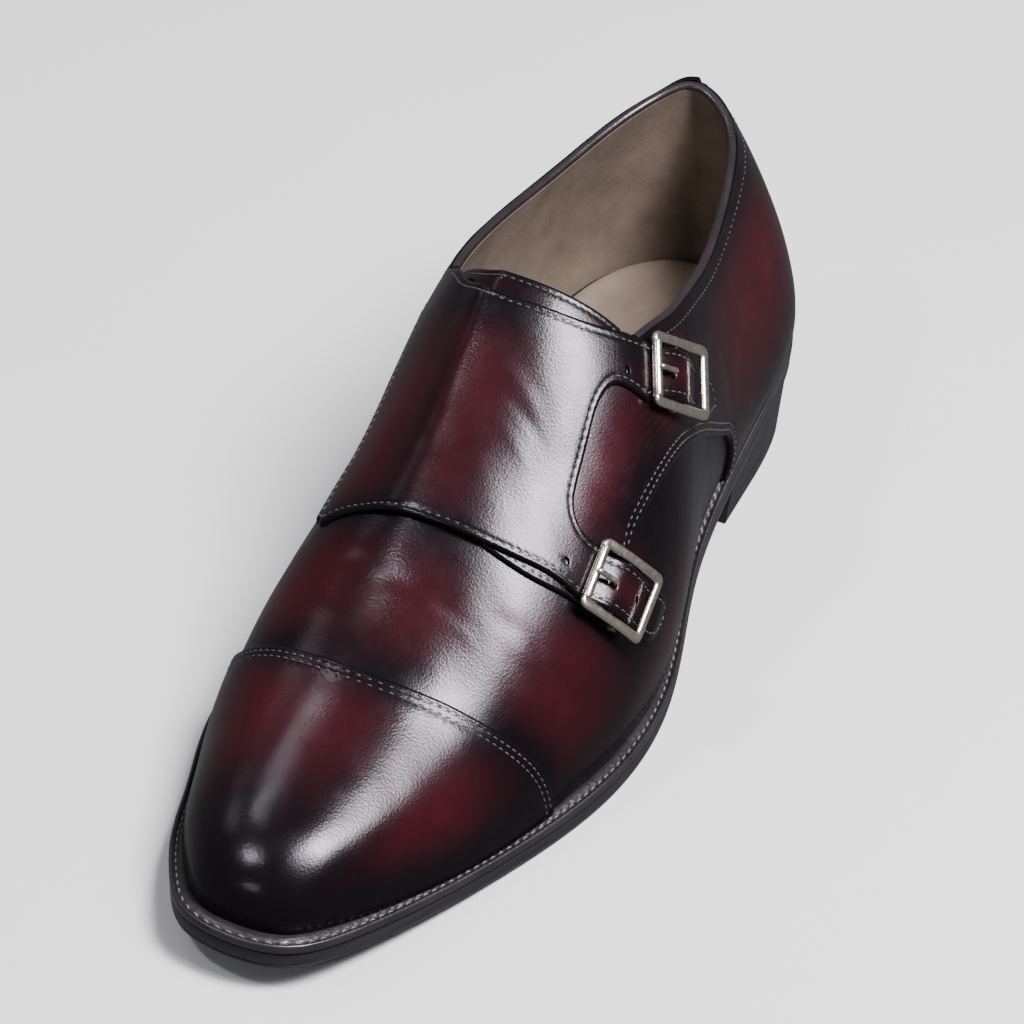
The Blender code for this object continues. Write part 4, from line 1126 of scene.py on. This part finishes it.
def plain_leather(name, colour, other, rough, grain_size=1400, depth=0.00004, coat=0.0):
    """Leather of one dye, with its grain and a little unevenness."""
    nodes = Nodes(name)
    shade = nodes.mix(nodes.span(nodes.noise(90, 4.0, 0.6), 0.3, 0.7), colour, other)
    grain = nodes.bump(nodes.cells(grain_size), depth)
    grain = nodes.bump(nodes.noise(260, 4.0, 0.6), 2 * depth, grain)
    gloss = nodes.span(nodes.noise(150, 3.0), 0.3, 0.7, rough - 0.05, rough + 0.05)
    return nodes.finish(shade, gloss, grain, Coat_Weight=coat, Coat_Roughness=0.2)


def edge_leather(name, colour, other, rough, layers):
    """Waxed edge of sole leather, with its faint level layers."""
    nodes = Nodes(name)
    lines = nodes.noise(1.0, 3.0, 0.6, (25, 25, layers))
    shade = nodes.mix(nodes.span(lines, 0.35, 0.70), colour, other)
    grain = nodes.bump(lines, 0.000025)
    grain = nodes.bump(nodes.noise(1500, 3.0), 0.00002, grain)
    gloss = nodes.span(nodes.noise(140, 3.0), 0.3, 0.7, rough - 0.06, rough + 0.06)
    return nodes.finish(shade, gloss, grain)


def satin_metal(name):
    """Champagne silver plating with fine brush marks."""
    nodes = Nodes(name)
    brushed = nodes.noise(1.0, 3.0, 0.6, (700, 2600, 700))
    shade = nodes.mix(nodes.span(brushed, 0.3, 0.7), (0.68, 0.62, 0.52), (0.80, 0.74, 0.63))
    grain = nodes.bump(brushed, 0.000005)
    grain = nodes.bump(nodes.noise(500, 3.0), 0.000012, grain)
    gloss = nodes.span(nodes.noise(600, 3.0), 0.3, 0.7, 0.20, 0.32)
    return nodes.finish(shade, gloss, grain, Metallic=1.0)


def thread(name, colour, other):
    """Waxed thread with its twist."""
    nodes = Nodes(name)
    twist = nodes.noise(2600, 2.0)
    shade = nodes.mix(nodes.span(twist, 0.35, 0.65), colour, other)
    return nodes.finish(shade, nodes.span(twist, 0.3, 0.7, 0.35, 0.5), nodes.bump(twist, 0.00004))


def make_materials():
    """All finishes of the shoe."""
    return {
        "leather": burnished_leather("burnished_calf"),
        "quarter": burnished_leather("brushed_calf", streaks=0.15),
        "bead": plain_leather("black_edge", (0.012, 0.009, 0.011), (0.022, 0.014, 0.018), 0.30, coat=0.3),
        "lining": plain_leather("taupe_calf", (0.125, 0.092, 0.070), (0.180, 0.135, 0.104), 0.58),
        "sock": plain_leather("taupe_sock", (0.150, 0.110, 0.082), (0.205, 0.153, 0.116), 0.55),
        "welt": plain_leather("waxed_welt", (0.010, 0.009, 0.010), (0.024, 0.020, 0.022), 0.34,
                              900, 0.00008, 0.3),
        "sole": edge_leather("waxed_sole", (0.013, 0.0115, 0.013), (0.021, 0.019, 0.021), 0.38, 700),
        "heel": edge_leather("waxed_heel", (0.012, 0.0105, 0.012), (0.020, 0.018, 0.020), 0.40, 480),
        "metal": satin_metal("champagne_plate"),
        "thread": thread("plum_thread", (0.024, 0.019, 0.022), (0.075, 0.062, 0.070)),
        "welt thread": thread("grey_thread", (0.075, 0.068, 0.068), (0.170, 0.155, 0.150)),
    }


def quarter_low(pattern, flat):
    """Height of the underside of the medial quarter, which rises onto the lateral one."""
    seated = GAP + OVERLAY
    start, end = PANEL_RAMP
    low = GAP + seated * ease((flat[:, 1] - start) / (end - start))
    lower = pattern.buckles[1]
    along, across = lower.read(flat).T
    settled = ease((along - STRAP_END_DROP) / (lower.reach - STRAP_END_DROP))
    low -= np.where(np.abs(across) < FRAME_ACROSS, settled, 0) * seated * (flat[:, 1] > 0)
    return low + sum(strap_hump(buckle, flat) for buckle in pattern.buckles)


def strap_hump(buckle, flat):
    """Height that a strap gains over its centre bar, with a broad round top."""
    along, across = buckle.read(flat).T
    reach = FRAME_ALONG / 2 - FRAME_BAR
    rise = np.cos(np.clip(along / reach, -1, 1) * math.pi / 2) ** HUMP_POWER
    return np.where(np.abs(across) < FRAME_ACROSS / 2, STRAP_RISE * rise, 0)


def strap_holes(buckle):
    """Prong hole and spare holes of a strap, as (place on the flat last, radius)."""
    places = [(-PRONG_HOLE_PLACE, PRONG_HOLE)]
    places += [(along, SPARE_HOLE_RADIUS) for along in SPARE_HOLES[buckle.name]]
    drift = buckle.drift
    return [(buckle.lay((along, drift * max(along / buckle.reach, 0) ** 2)), radius)
            for along, radius in places]


def punched(holes, flat):
    """Depth of the holes."""
    lift = np.zeros(len(flat))
    for centre, radius in holes:
        away = np.linalg.norm(flat - centre, axis=1) / radius
        lift -= HOLE_DEPTH * (1 - ease((away - 0.75) / 0.45))
    return lift


def on_last(pattern, keep):
    """Test of whether points lie on the last and also pass another test."""
    edge = pattern.edge.points
    return lambda flat: in_blocks(lambda some: inside(some, edge) & keep(some), flat)


def level(height):
    """The same height for all points."""
    return lambda flat: np.full(len(flat), height)


def seated_low(last, flat):
    """Height of an overlay's underside."""
    return OVERLAY_LOW + creased(last, flat)


def seated_top(last, flat, line, seam, rows):
    """Height of an overlay's top, rolled at its cut edge and dipped along its stitches."""
    top = creased(last, flat) + (GAP + OVERLAY) * rolled(line.near(flat)[0])
    return top + bent(seam, flat, rows)


def seated_thread(last, flat):
    """Height of the threads in an overlay."""
    return creased(last, flat) + GAP + OVERLAY - THREAD_SINK


def sew(last, points, rows, keep, lift, free):
    """Stitches in rows beside a seam, on the side that a test keeps."""
    return [stitch_row(last, beside(points, row, keep, free), lift) for row in rows]


def make_vamp(pattern, materials):
    """Vamp and its lining."""
    last, collar = pattern.last, pattern.collar.points
    keep = on_last(pattern, lambda some: ~inside(some, collar))
    vamp = leather("vamp_leather", pattern, keep, [], level(VAMP_LOW),
                   lambda flat: creased(last, flat), materials["leather"],
                   own=pattern.medial_line)
    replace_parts(vamp, "upper")
    leather("lining_leather", pattern, keep, [], level(-UPPER_WALL), level(LINING_TOP),
            materials["lining"], spacing=LINING_SPACING)


def make_cap(pattern, materials):
    """Toe cap; returns the stitches of its seam."""
    last, seam, outline = pattern.last, pattern.cap_seam, pattern.cap()
    keep = on_last(pattern, lambda some: inside(some, outline))
    cap = leather("toe_cap_leather", pattern, keep, [seam], lambda flat: seated_low(last, flat),
                  lambda flat: seated_top(last, flat, seam, seam, DOUBLE_ROW),
                  materials["leather"], own=seam)
    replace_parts(cap, "toe_cap")
    return sew(last, seam.points, DOUBLE_ROW, keep, lambda flat: seated_thread(last, flat), seam)


def make_lateral_quarter(pattern, materials, keep):
    """Lateral quarter; returns the stitches of its front."""
    last, line, front = pattern.last, pattern.lateral_line, Line(pattern.quarter_front)
    piece = leather("lateral_quarter_leather", pattern, keep, [line],
                    lambda flat: seated_low(last, flat),
                    lambda flat: seated_top(last, flat, line, front, DOUBLE_ROW),
                    materials["quarter"], own=front, shift=-SEAM_GAP)
    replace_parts(piece, "lateral_quarter")
    return sew(last, front.points, DOUBLE_ROW, keep, lambda flat: seated_thread(last, flat), front)


def make_medial_quarter(pattern, materials, keep):
    """Medial quarter, panel and straps in one piece; returns the stitches round it."""
    last, line, waist = pattern.last, pattern.medial_line, Line(pattern.waist)
    holes = [hole for buckle in pattern.buckles for hole in strap_holes(buckle)]

    def low(flat):
        return quarter_low(pattern, flat) - GAP + seated_low(last, flat)

    def high(flat):
        top = quarter_low(pattern, flat) - GAP + seated_top(last, flat, line, waist, (SECOND_ROW,))
        return top + bent(line, flat, (FIRST_ROW,)) + punched(holes, flat)

    def threads(flat):
        return quarter_low(pattern, flat) - GAP + seated_thread(last, flat)

    piece = leather("medial_quarter_leather", pattern, keep, [line], low, high,
                    materials["leather"], holes=holes, own=line, shift=SEAM_GAP)
    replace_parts(piece, "medial_quarter")
    return (sew(last, line.points, (FIRST_ROW,), keep, threads, line)
            + sew(last, waist.points, (SECOND_ROW,), keep, threads, line))


def make_tongue(pattern, materials):
    """Tongue under the panel; returns the stitches along its top."""
    last, brim, outline = pattern.last, pattern.tongue_top, pattern.tongue
    keep = on_last(pattern, lambda some: inside(some, outline))
    under = -UPPER_WALL - GAP

    def high(flat):
        return under - TONGUE + TONGUE * rolled(brim.near(flat)[0]) + bent(brim, flat, (FIRST_ROW,))

    tongue = leather("tongue_leather", pattern, keep, [brim], level(under - TONGUE), high,
                     materials["leather"], own=brim)
    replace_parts(tongue, "tongue")
    return sew(last, brim.points, (FIRST_ROW,), keep, level(under - THREAD_SINK), brim)


def make_uppers(pattern, materials):
    """All leather over the last, and the threads that hold it."""
    last = pattern.last
    lateral = on_last(pattern, lambda some: inside(some, pattern.lateral_quarter))
    medial = on_last(pattern, lambda some: inside(some, pattern.medial_quarter))
    make_vamp(pattern, materials)
    rows = make_cap(pattern, materials)
    rows += make_lateral_quarter(pattern, materials, lateral)
    rows += make_medial_quarter(pattern, materials, medial)
    rows += make_tongue(pattern, materials)
    collar = np.vstack([pattern.lateral_collar, pattern.medial_collar])
    rows += sew(last, collar, (COLLAR_ROW,), lambda flat: medial(flat) | lateral(flat),
                lambda flat: seated_thread(last, flat), pattern.collar)
    add_stitches("stitches_upper", rows, materials["thread"])


def make_collar(pattern, materials):
    """Rolled edge of the collar."""
    flat = np.vstack([pattern.lateral_collar, pattern.medial_collar])
    route = on_floor(pattern.last.at(flat, np.full(len(flat), -BEAD_SINK)))
    tube("collar_bead", smooth_route(route, LINE_STEP), BEAD_RADIUS, materials["bead"],
         sides=14)


def smooth_route(points, step):
    """Points a step apart on a smooth curve in space."""
    knots = chord_knots(points)
    keep = np.concatenate([[True], np.diff(knots) > 1e-7])
    knots, points = knots[keep], points[keep]
    places = np.linspace(0, knots[-1], int(knots[-1] / step) + 1)
    read = np.stack([np.interp(places, knots, points[:, axis]) for axis in range(3)], axis=1)
    for _ in range(3):
        read[1:-1] = (read[:-2] + 2 * read[1:-1] + read[2:]) / 4
    return read


def make_tab(pattern, materials):
    """Short strip that covers the back seam below the collar."""
    last = pattern.last
    top = pattern.collar.points[0, 0] - TAB_DROP
    along = np.linspace(top, top - TAB_LENGTH, 14)
    across = np.linspace(-1, 1, 13)
    rings = []
    for low in (False, True):
        sheet = []
        for a in along:
            share = (top - a) / TAB_LENGTH
            half = TAB_WIDTH / 2 * (1 - 0.45 * ease((share - 0.4) / 0.6))
            line = np.stack([np.full(len(across), a), across * half], axis=1)
            edge = np.minimum(half * (1 - np.abs(across)), TAB_LENGTH * (1 - share))
            lift = GAP + OVERLAY + (0 if low else TAB_THICK * rolled(edge))
            sheet.append(last.at(line, np.broadcast_to(lift, len(across))))
        rings.append(np.array(sheet))
    loops = np.concatenate([rings[0], rings[1][:, ::-1]], axis=1)
    skin("back_tab", on_floor(loops), materials["bead"], closed=False, caps=True)


def sole_reach():
    """Reach of the welt's edge past the last, as a function of y."""
    table = np.array(WELT_TABLE)
    reach = spline(table[:, 0] * LAST_LENGTH, table[:, 1:] * WELT_REACH)
    return lambda y: reach(np.clip(y, 0, LAST_LENGTH))[..., 0]


def welt_base(y):
    """Height of the welt's underside."""
    return underside(y) + OUTSOLE + GAP


def sole_ring(last, places, reach, height):
    """Ring a reach out from the bottom edge, at the height that a function gives for y."""
    out = last.outward(places)[:, :2] * np.broadcast_to(reach, len(places))[:, None]
    plan = last.loop(places) + out
    return np.column_stack([plan, height(plan[:, 1])])


def even_places(last, count):
    """Places at even steps along the bottom edge."""
    return np.linspace(0, last.loop_length, count, endpoint=False)


def make_welt(last, materials):
    """Welt with its wheeled marks, and its row of stitches."""
    reach = sole_reach()
    places = even_places(last, 2 * SOLE_POINTS)
    edge = reach(last.loop(places)[:, 1])
    marks = WELT_MARK * (0.5 + 0.5 * np.cos(2 * math.pi * places / WELT_PITCH))
    # Columns: how far in from the edge, share of the welt's height, share of the mark.
    profile = (
        (0.00030, 0.00, 0), (0.0, 0.12, 0), (0.0, 0.72, 0), (0.00012, 0.90, 0), (0.00045, 0.99, 0),
        (0.00085, 0.98, 0), (0.00115, 0.88, 0.2), (0.00160, 0.80, 1), (0.00210, 0.78, 1),
        (0.00260, 0.84, 0.8), (0.00310, 0.94, 0.2), (0.00400, 0.97, 0),
    )
    rings = [sole_ring(last, places, edge - inset, lambda y: welt_base(y) + height * WELT - mark * marks)
             for inset, height, mark in profile]
    rings += [sole_ring(last, places, -WELT_INNER, lambda y: welt_base(y) + height * WELT)
              for height in (0.97, 0.0)]
    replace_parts(skin("welt_strip", on_floor(rings), materials["welt"]), "welt")
    count = int(last.loop_length / WELT_PITCH)
    places = (np.arange(count) + 0.5) * last.loop_length / count
    middle = sole_ring(last, places, reach(last.loop(places)[:, 1]) - WELT_ROW,
                       lambda y: welt_base(y) + WELT_SEAT * WELT)
    ahead = unit(np.roll(middle, -1, axis=0) - np.roll(middle, 1, axis=0))
    up = np.tile([0.0, 0.0, 1.0], (count, 1))
    add_stitches("stitches_welt", [(on_floor(middle), ahead, up)], materials["welt thread"],
                 length=WELT_STITCH_LENGTH, radius=WELT_STITCH_RADIUS)


def capped(name, rings, material, low, high):
    """Closed solid from rings; functions of y give the height of its lower and upper end."""
    rings = [np.asarray(ring, float) for ring in rings]
    around = len(rings[0])
    points = np.vstack(rings)
    faces = between_rings(len(rings), around)
    edges = [(k, (k + 1) % around) for k in range(around)]
    last_start = (len(rings) - 1) * around
    for start, ring, height, turned in ((0, rings[0], low, True), (last_start, rings[-1], high, False)):
        outline = ring[:, :2]
        inner = grid_points(outline.min(axis=0), outline.max(axis=0), FILL_SPACING)
        inner = inner[inside(inner, outline)]
        inner = inner[Line(outline, closed=True).near(inner)[0] > 0.5 * FILL_SPACING]
        flat, found = triangulate(np.vstack([outline, inner]), edges)
        found = found[inside(flat[found].mean(axis=1), outline)]
        added = len(points)
        points = np.vstack([points, np.column_stack([flat[around:], height(flat[around:, 1])])])
        renumber = np.concatenate([start + np.arange(around), added + np.arange(len(flat) - around)])
        found = renumber[found]
        faces += [tuple(face[::-1]) if turned else tuple(face) for face in found]
    return add_mesh(name, on_floor(points), faces, material, sharp=42)


def make_outsole(last, materials):
    """Outsole with its rounded edges, the fine line along them and the closed channel."""
    places = even_places(last, SOLE_POINTS)
    edge = sole_reach()(last.loop(places)[:, 1]) - OUTSOLE_INSET
    # Columns: how far in from the edge, share of the outsole's height.
    profile = (
        (0.0058, 0.00), (0.0054, 0.05), (0.0050, 0.05), (0.0046, 0.00), (0.0012, 0.00), (0.0005, 0.025),
        (0.00012, 0.09), (0.0, 0.17), (0.0, 0.215), (0.00022, 0.235), (0.00022, 0.255), (0.0, 0.28),
        (0.0, 0.60), (0.0, 0.90), (0.00015, 0.97), (0.0005, 1.0), (0.0040, 1.0),
    )
    rings = [sole_ring(last, places, edge - inset, lambda y: underside(y) + height * OUTSOLE)
             for inset, height in profile]
    piece = capped("outsole_leather", rings, materials["sole"],
                   underside, lambda y: underside(y) + OUTSOLE)
    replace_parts(piece, "outsole")


def heel_outline(last, reach, height, inset=0.0):
    """Plan of the heel at a height, cut straight at the breast."""
    inset = inset + HEEL_INSET + HEEL_TAPER * (1 - height / HEEL_HEIGHT)
    outline = last.outline(lambda y: reach(y) - OUTSOLE_INSET - inset, 2 * SOLE_POINTS)
    breast = BREAST * LAST_LENGTH - max(inset - HEEL_INSET - HEEL_TAPER, 0)
    kept = []
    for start, end in zip(outline, np.roll(outline, -1, axis=0)):
        if start[1] < breast:
            kept.append(start)
        if (start[1] < breast) != (end[1] < breast):
            share = (breast - start[1]) / (end[1] - start[1])
            kept.append(start + share * (end - start))
    corners = [i for i, point in enumerate(kept) if abs(point[1] - breast) < 1e-9]
    around = np.array(kept[corners[1]:] + kept[:corners[0] + 1])
    knots = chord_knots(around)
    places = np.linspace(0, knots[-1], HEEL_POINTS)
    side = np.stack([np.interp(places, knots, around[:, axis]) for axis in (0, 1)], axis=1)
    share = np.linspace(0, 1, BREAST_POINTS + 2)[1:-1, None]
    return np.vstack([side, side[-1] + share * (side[0] - side[-1])])


def make_heel(last, materials):
    """Heel lifts with faint lines between them, and the top lift on the floor."""
    reach = sole_reach()
    top = TOP_PIECE - TOP_LIFT_GAP
    # Columns of both profiles: height or its share, how far in from the edge.
    profile = ((0.0, 0.0006), (0.00018, 0.00018), (0.0006, 0.0), (top - 0.0006, 0.0), (top, 0.00012))
    rings = []
    for height, inset in profile:
        plan = heel_outline(last, reach, height, inset)
        rings.append(np.column_stack([plan, np.full(len(plan), height)]))
    piece = capped("heel_top_lift", rings, materials["heel"],
                   lambda y: np.zeros(len(y)), lambda y: np.full(len(y), top))
    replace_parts(piece, "heel_top_piece")
    profile = [(0.0, 0.00012)]
    for lift in range(HEEL_LIFTS):
        profile += [((lift + place) / HEEL_LIFTS, 0.0) for place in (0.03, 0.5, 0.96)]
        profile.append(((lift + 1) / HEEL_LIFTS, 0.00003))
    profile[-1] = (1.0, 0.00015)
    bottom = TOP_PIECE + GAP / 3
    rings = []
    for share, inset in profile:
        plan = heel_outline(last, reach, TOP_PIECE + share * (HEEL_HEIGHT - TOP_PIECE), inset)
        seat = underside(plan[:, 1]) - GAP / 3
        rings.append(np.column_stack([plan, bottom + share * (seat - bottom)]))
    piece = capped("heel_lifts", rings, materials["heel"],
                   lambda y: np.full(len(y), bottom), lambda y: underside(y) - GAP / 3)
    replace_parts(piece, "heel_stack")


def make_insole(last, materials):
    """Sock on the insole, with its rounded edge."""
    places = even_places(last, SOLE_POINTS // 2)
    # Columns: how far in from the edge, share of the insole's height.
    profile = ((0.0, 0.0), (0.0, 0.6), (0.0002, 0.85), (0.0007, 1.0), (0.003, 1.0))
    rings = [sole_ring(last, places, -INSOLE_INSET - inset, lambda y: edge_height(y) + height * INSOLE)
             for inset, height in profile]
    piece = capped("insole_sock", rings, materials["sock"],
                   edge_height, lambda y: edge_height(y) + INSOLE)
    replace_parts(piece, "insole")


def rounded_rectangle(along, across, radius, steps=10, count=132):
    """Points at even steps round a rectangle with round corners."""
    points = []
    for corner in range(4):
        sign_along = 1 if corner in (0, 3) else -1
        sign_across = 1 if corner in (0, 1) else -1
        for step in range(steps + 1):
            angle = math.radians(90 * (corner + step / steps))
            points.append((sign_along * (along / 2 - radius) + radius * math.cos(angle),
                           sign_across * (across / 2 - radius) + radius * math.sin(angle)))
    closed = np.array(points + points[:1])
    knots = chord_knots(closed)
    places = np.linspace(0, knots[-1], count, endpoint=False)
    return np.stack([np.interp(places, knots, closed[:, axis]) for axis in (0, 1)], axis=1)


def make_buckle(buckle, materials):
    """Frame, rolled bar, centre bar and prong of one buckle."""
    strap_top = 2 * (GAP + OVERLAY) + GAP
    bar_place = (FRAME_ALONG - FRAME_BAR) / 2
    half = FRAME_ACROSS / 2 - FRAME_BAR
    reach = (-FRAME_ALONG / 2, -bar_place, -FRAME_ALONG / 2 + FRAME_BAR)
    spread = (-half, 0, half)
    left = strap_top + max(buckle.height(a, c) for a in reach for c in spread)
    right = strap_top + buckle.far_gap + max(buckle.height(-a, c) for a in reach for c in spread)
    middle = strap_top + max(buckle.height(0, c) for c in spread)
    bow = (left + right) / 2 - middle

    def lower_face(along):
        share = along / bar_place
        return middle + bow * share ** 2 + (right - left) / 2 * share

    outer = rounded_rectangle(FRAME_ALONG, FRAME_ACROSS, 0.7 * FRAME_CORNER)
    inner = rounded_rectangle(FRAME_ALONG - 2 * FRAME_BAR, FRAME_ACROSS - 2 * SIDE_BAR,
                              FRAME_CORNER / 4)
    # Columns: share of the way from the outer to the inner outline, share of the height.
    profile = ((0.0, 0.30), (0.0, 0.72), (0.10, 0.93), (0.24, 1.0), (0.74, 0.96), (0.90, 0.86),
               (1.0, 0.66), (1.0, 0.30), (0.90, 0.08), (0.72, 0.0), (0.26, 0.0), (0.08, 0.08))
    rings = []
    for share, height in profile:
        plan = outer + (inner - outer) * share
        level = lower_face(plan[:, 0]) + height * FRAME_THICK
        rings.append(np.column_stack([plan, level]))
    frame_piece = skin("buckle_frame_" + buckle.name + "_metal", buckle.to_world(rings),
                       materials["metal"], sharp=60)
    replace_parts(frame_piece, "buckle_frame_" + buckle.name)
    length = FRAME_ACROSS - 2 * SIDE_BAR + 2 * ROLLER_ENTRY
    across = np.array([-0.5, -0.495, -0.48, -0.3, 0.0, 0.3, 0.48, 0.495, 0.5]) * length
    width = ROLLER_RADIUS * np.array([0.80, 0.94, 1, 1, 1, 1, 1, 0.94, 0.80])
    level = lower_face(-bar_place) + FRAME_THICK * 0.62
    route = np.column_stack([np.full(9, -bar_place), across, np.full(9, level)])
    tube("buckle_roller_" + buckle.name, buckle.to_world(route), width, materials["metal"],
         sides=20)
    bar_height = strap_top - GAP - OVERLAY + STRAP_RISE - CENTRE_BAR_RADIUS - 2 * GAP
    ends = np.linspace(-0.5, 0.5, 5) * (FRAME_ACROSS - FRAME_BAR)
    route = np.column_stack([np.zeros(5), ends, np.full(5, bar_height)])
    tube("buckle_bar_" + buckle.name, buckle.to_world(route), CENTRE_BAR_RADIUS,
         materials["metal"], sides=12)
    make_prong(buckle, bar_height, level + ROLLER_RADIUS, materials)


def make_prong(buckle, start_height, roller_top, materials):
    """Prong from the centre bar, up through the strap's hole, onto the rolled bar."""
    clear = GAP + PRONG_RADIUS
    outer_bar = -(FRAME_ALONG - FRAME_BAR) / 2
    strap = start_height + CENTRE_BAR_RADIUS + 2 * GAP
    rest = roller_top + 0.6 * PRONG_RADIUS
    # Columns: place along the strap from the buckle's centre, height.
    corners = np.array([
        (-CENTRE_BAR_RADIUS - clear, start_height - GAP), (-PRONG_HOLE_PLACE + 0.0006, start_height),
        (-PRONG_HOLE_PLACE, strap), (-PRONG_HOLE_PLACE - 0.0008, strap + OVERLAY + 0.0004),
        (-PRONG_HOLE_PLACE - 0.0022, rest + 0.0004), (outer_bar + 0.0012, rest + 0.0002),
        (outer_bar - 0.0003, rest), (outer_bar - 0.0011, rest - 0.0003),
    ])
    knots = chord_knots(corners)
    count = 34
    fine = spline(knots, corners)(np.linspace(0, knots[-1], count))
    share = np.linspace(0, 1, count)
    tip = np.clip((share - 0.90) / 0.105, 0, None)
    width = PRONG_RADIUS * (1.05 - 0.12 * share) * np.sqrt(np.clip(1 - tip ** 2, 0.04, 1))
    route = np.column_stack([fine[:, 0], np.zeros(count), fine[:, 1]])
    ups = np.tile(buckle.side, (count, 1))
    piece = tube("buckle_prong_" + buckle.name + "_metal", buckle.to_world(route), width,
                 materials["metal"], sides=14, ups=ups)
    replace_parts(piece, "buckle_prong_" + buckle.name)


def add_light(name, direction, distance, wide, high, watts, shape):
    """Soft light at a distance from the shoe, turned to it."""
    light = bpy.data.lights.new(name, "AREA")
    light.shape = shape
    light.size = wide
    light.size_y = high
    light.energy = watts
    light.color = LIGHT_COLOUR
    lamp = bpy.data.objects.new(name, light)
    bpy.context.scene.collection.objects.link(lamp)
    away = Vector(direction).normalized()
    lamp.location = Vector(LIGHT_AIM) + away * distance
    lamp.rotation_mode = "QUATERNION"
    lamp.rotation_quaternion = away.to_track_quat("Z", "Y")


def make_stage():
    """Pale floor, kept out of the reflections, with soft lights and sky."""
    size = FLOOR_HALF
    mesh = bpy.data.meshes.new("floor")
    mesh.from_pydata([(-size, -size, 0), (size, -size, 0), (size, size, 0), (-size, size, 0)], [],
                     [(0, 1, 2, 3)])
    floor = bpy.data.objects.new("floor", mesh)
    bpy.context.scene.collection.objects.link(floor)
    nodes = Nodes("pale_floor")
    shade = nodes.mix(nodes.span(nodes.noise(3, 2.0), 0.3, 0.7), FLOOR_GREY, FLOOR_PALE)
    gloss = nodes.span(nodes.noise(40, 2.0), 0.3, 0.7, 0.80, 0.9)
    mesh.materials.append(nodes.finish(shade, gloss))
    floor.visible_glossy = False
    world = bpy.data.worlds.new("studio")
    world.use_nodes = True
    sky = world.node_tree.nodes["Background"]
    sky.inputs["Color"].default_value = SKY_COLOUR
    sky.inputs["Strength"].default_value = WORLD_STRENGTH
    bpy.context.scene.world = world
    for row in LIGHTS:
        add_light(*row)


def make_camera():
    """Camera at the photo's place, turned and zoomed to frame the one shoe."""
    data = bpy.data.cameras.new("camera")
    camera = bpy.data.objects.new("camera", data)
    bpy.context.scene.collection.objects.link(camera)
    place = Vector(CAMERA_PLACE)
    turn = (place - Vector(CAMERA_AIM)).to_track_quat("Z", "Y")
    roll = Matrix.Rotation(math.radians(CAMERA_ROLL), 3, "Z").to_quaternion()
    camera.rotation_mode = "QUATERNION"
    camera.rotation_quaternion = turn @ roll
    camera.location = place
    data.lens = CAMERA_LENS
    data.sensor_width = SENSOR_WIDTH
    data.clip_end = CLIP_END
    bpy.context.scene.camera = camera


def main():
    """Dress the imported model."""
    last = Last()
    buckles = [Buckle(last, *row) for row in BUCKLES]
    pattern = Pattern(last, buckles)
    materials = make_materials()
    make_uppers(pattern, materials)
    make_collar(pattern, materials)
    make_tab(pattern, materials)
    make_welt(last, materials)
    make_outsole(last, materials)
    make_heel(last, materials)
    make_insole(last, materials)
    for buckle in buckles:
        make_buckle(buckle, materials)
    make_stage()
    make_camera()


main()
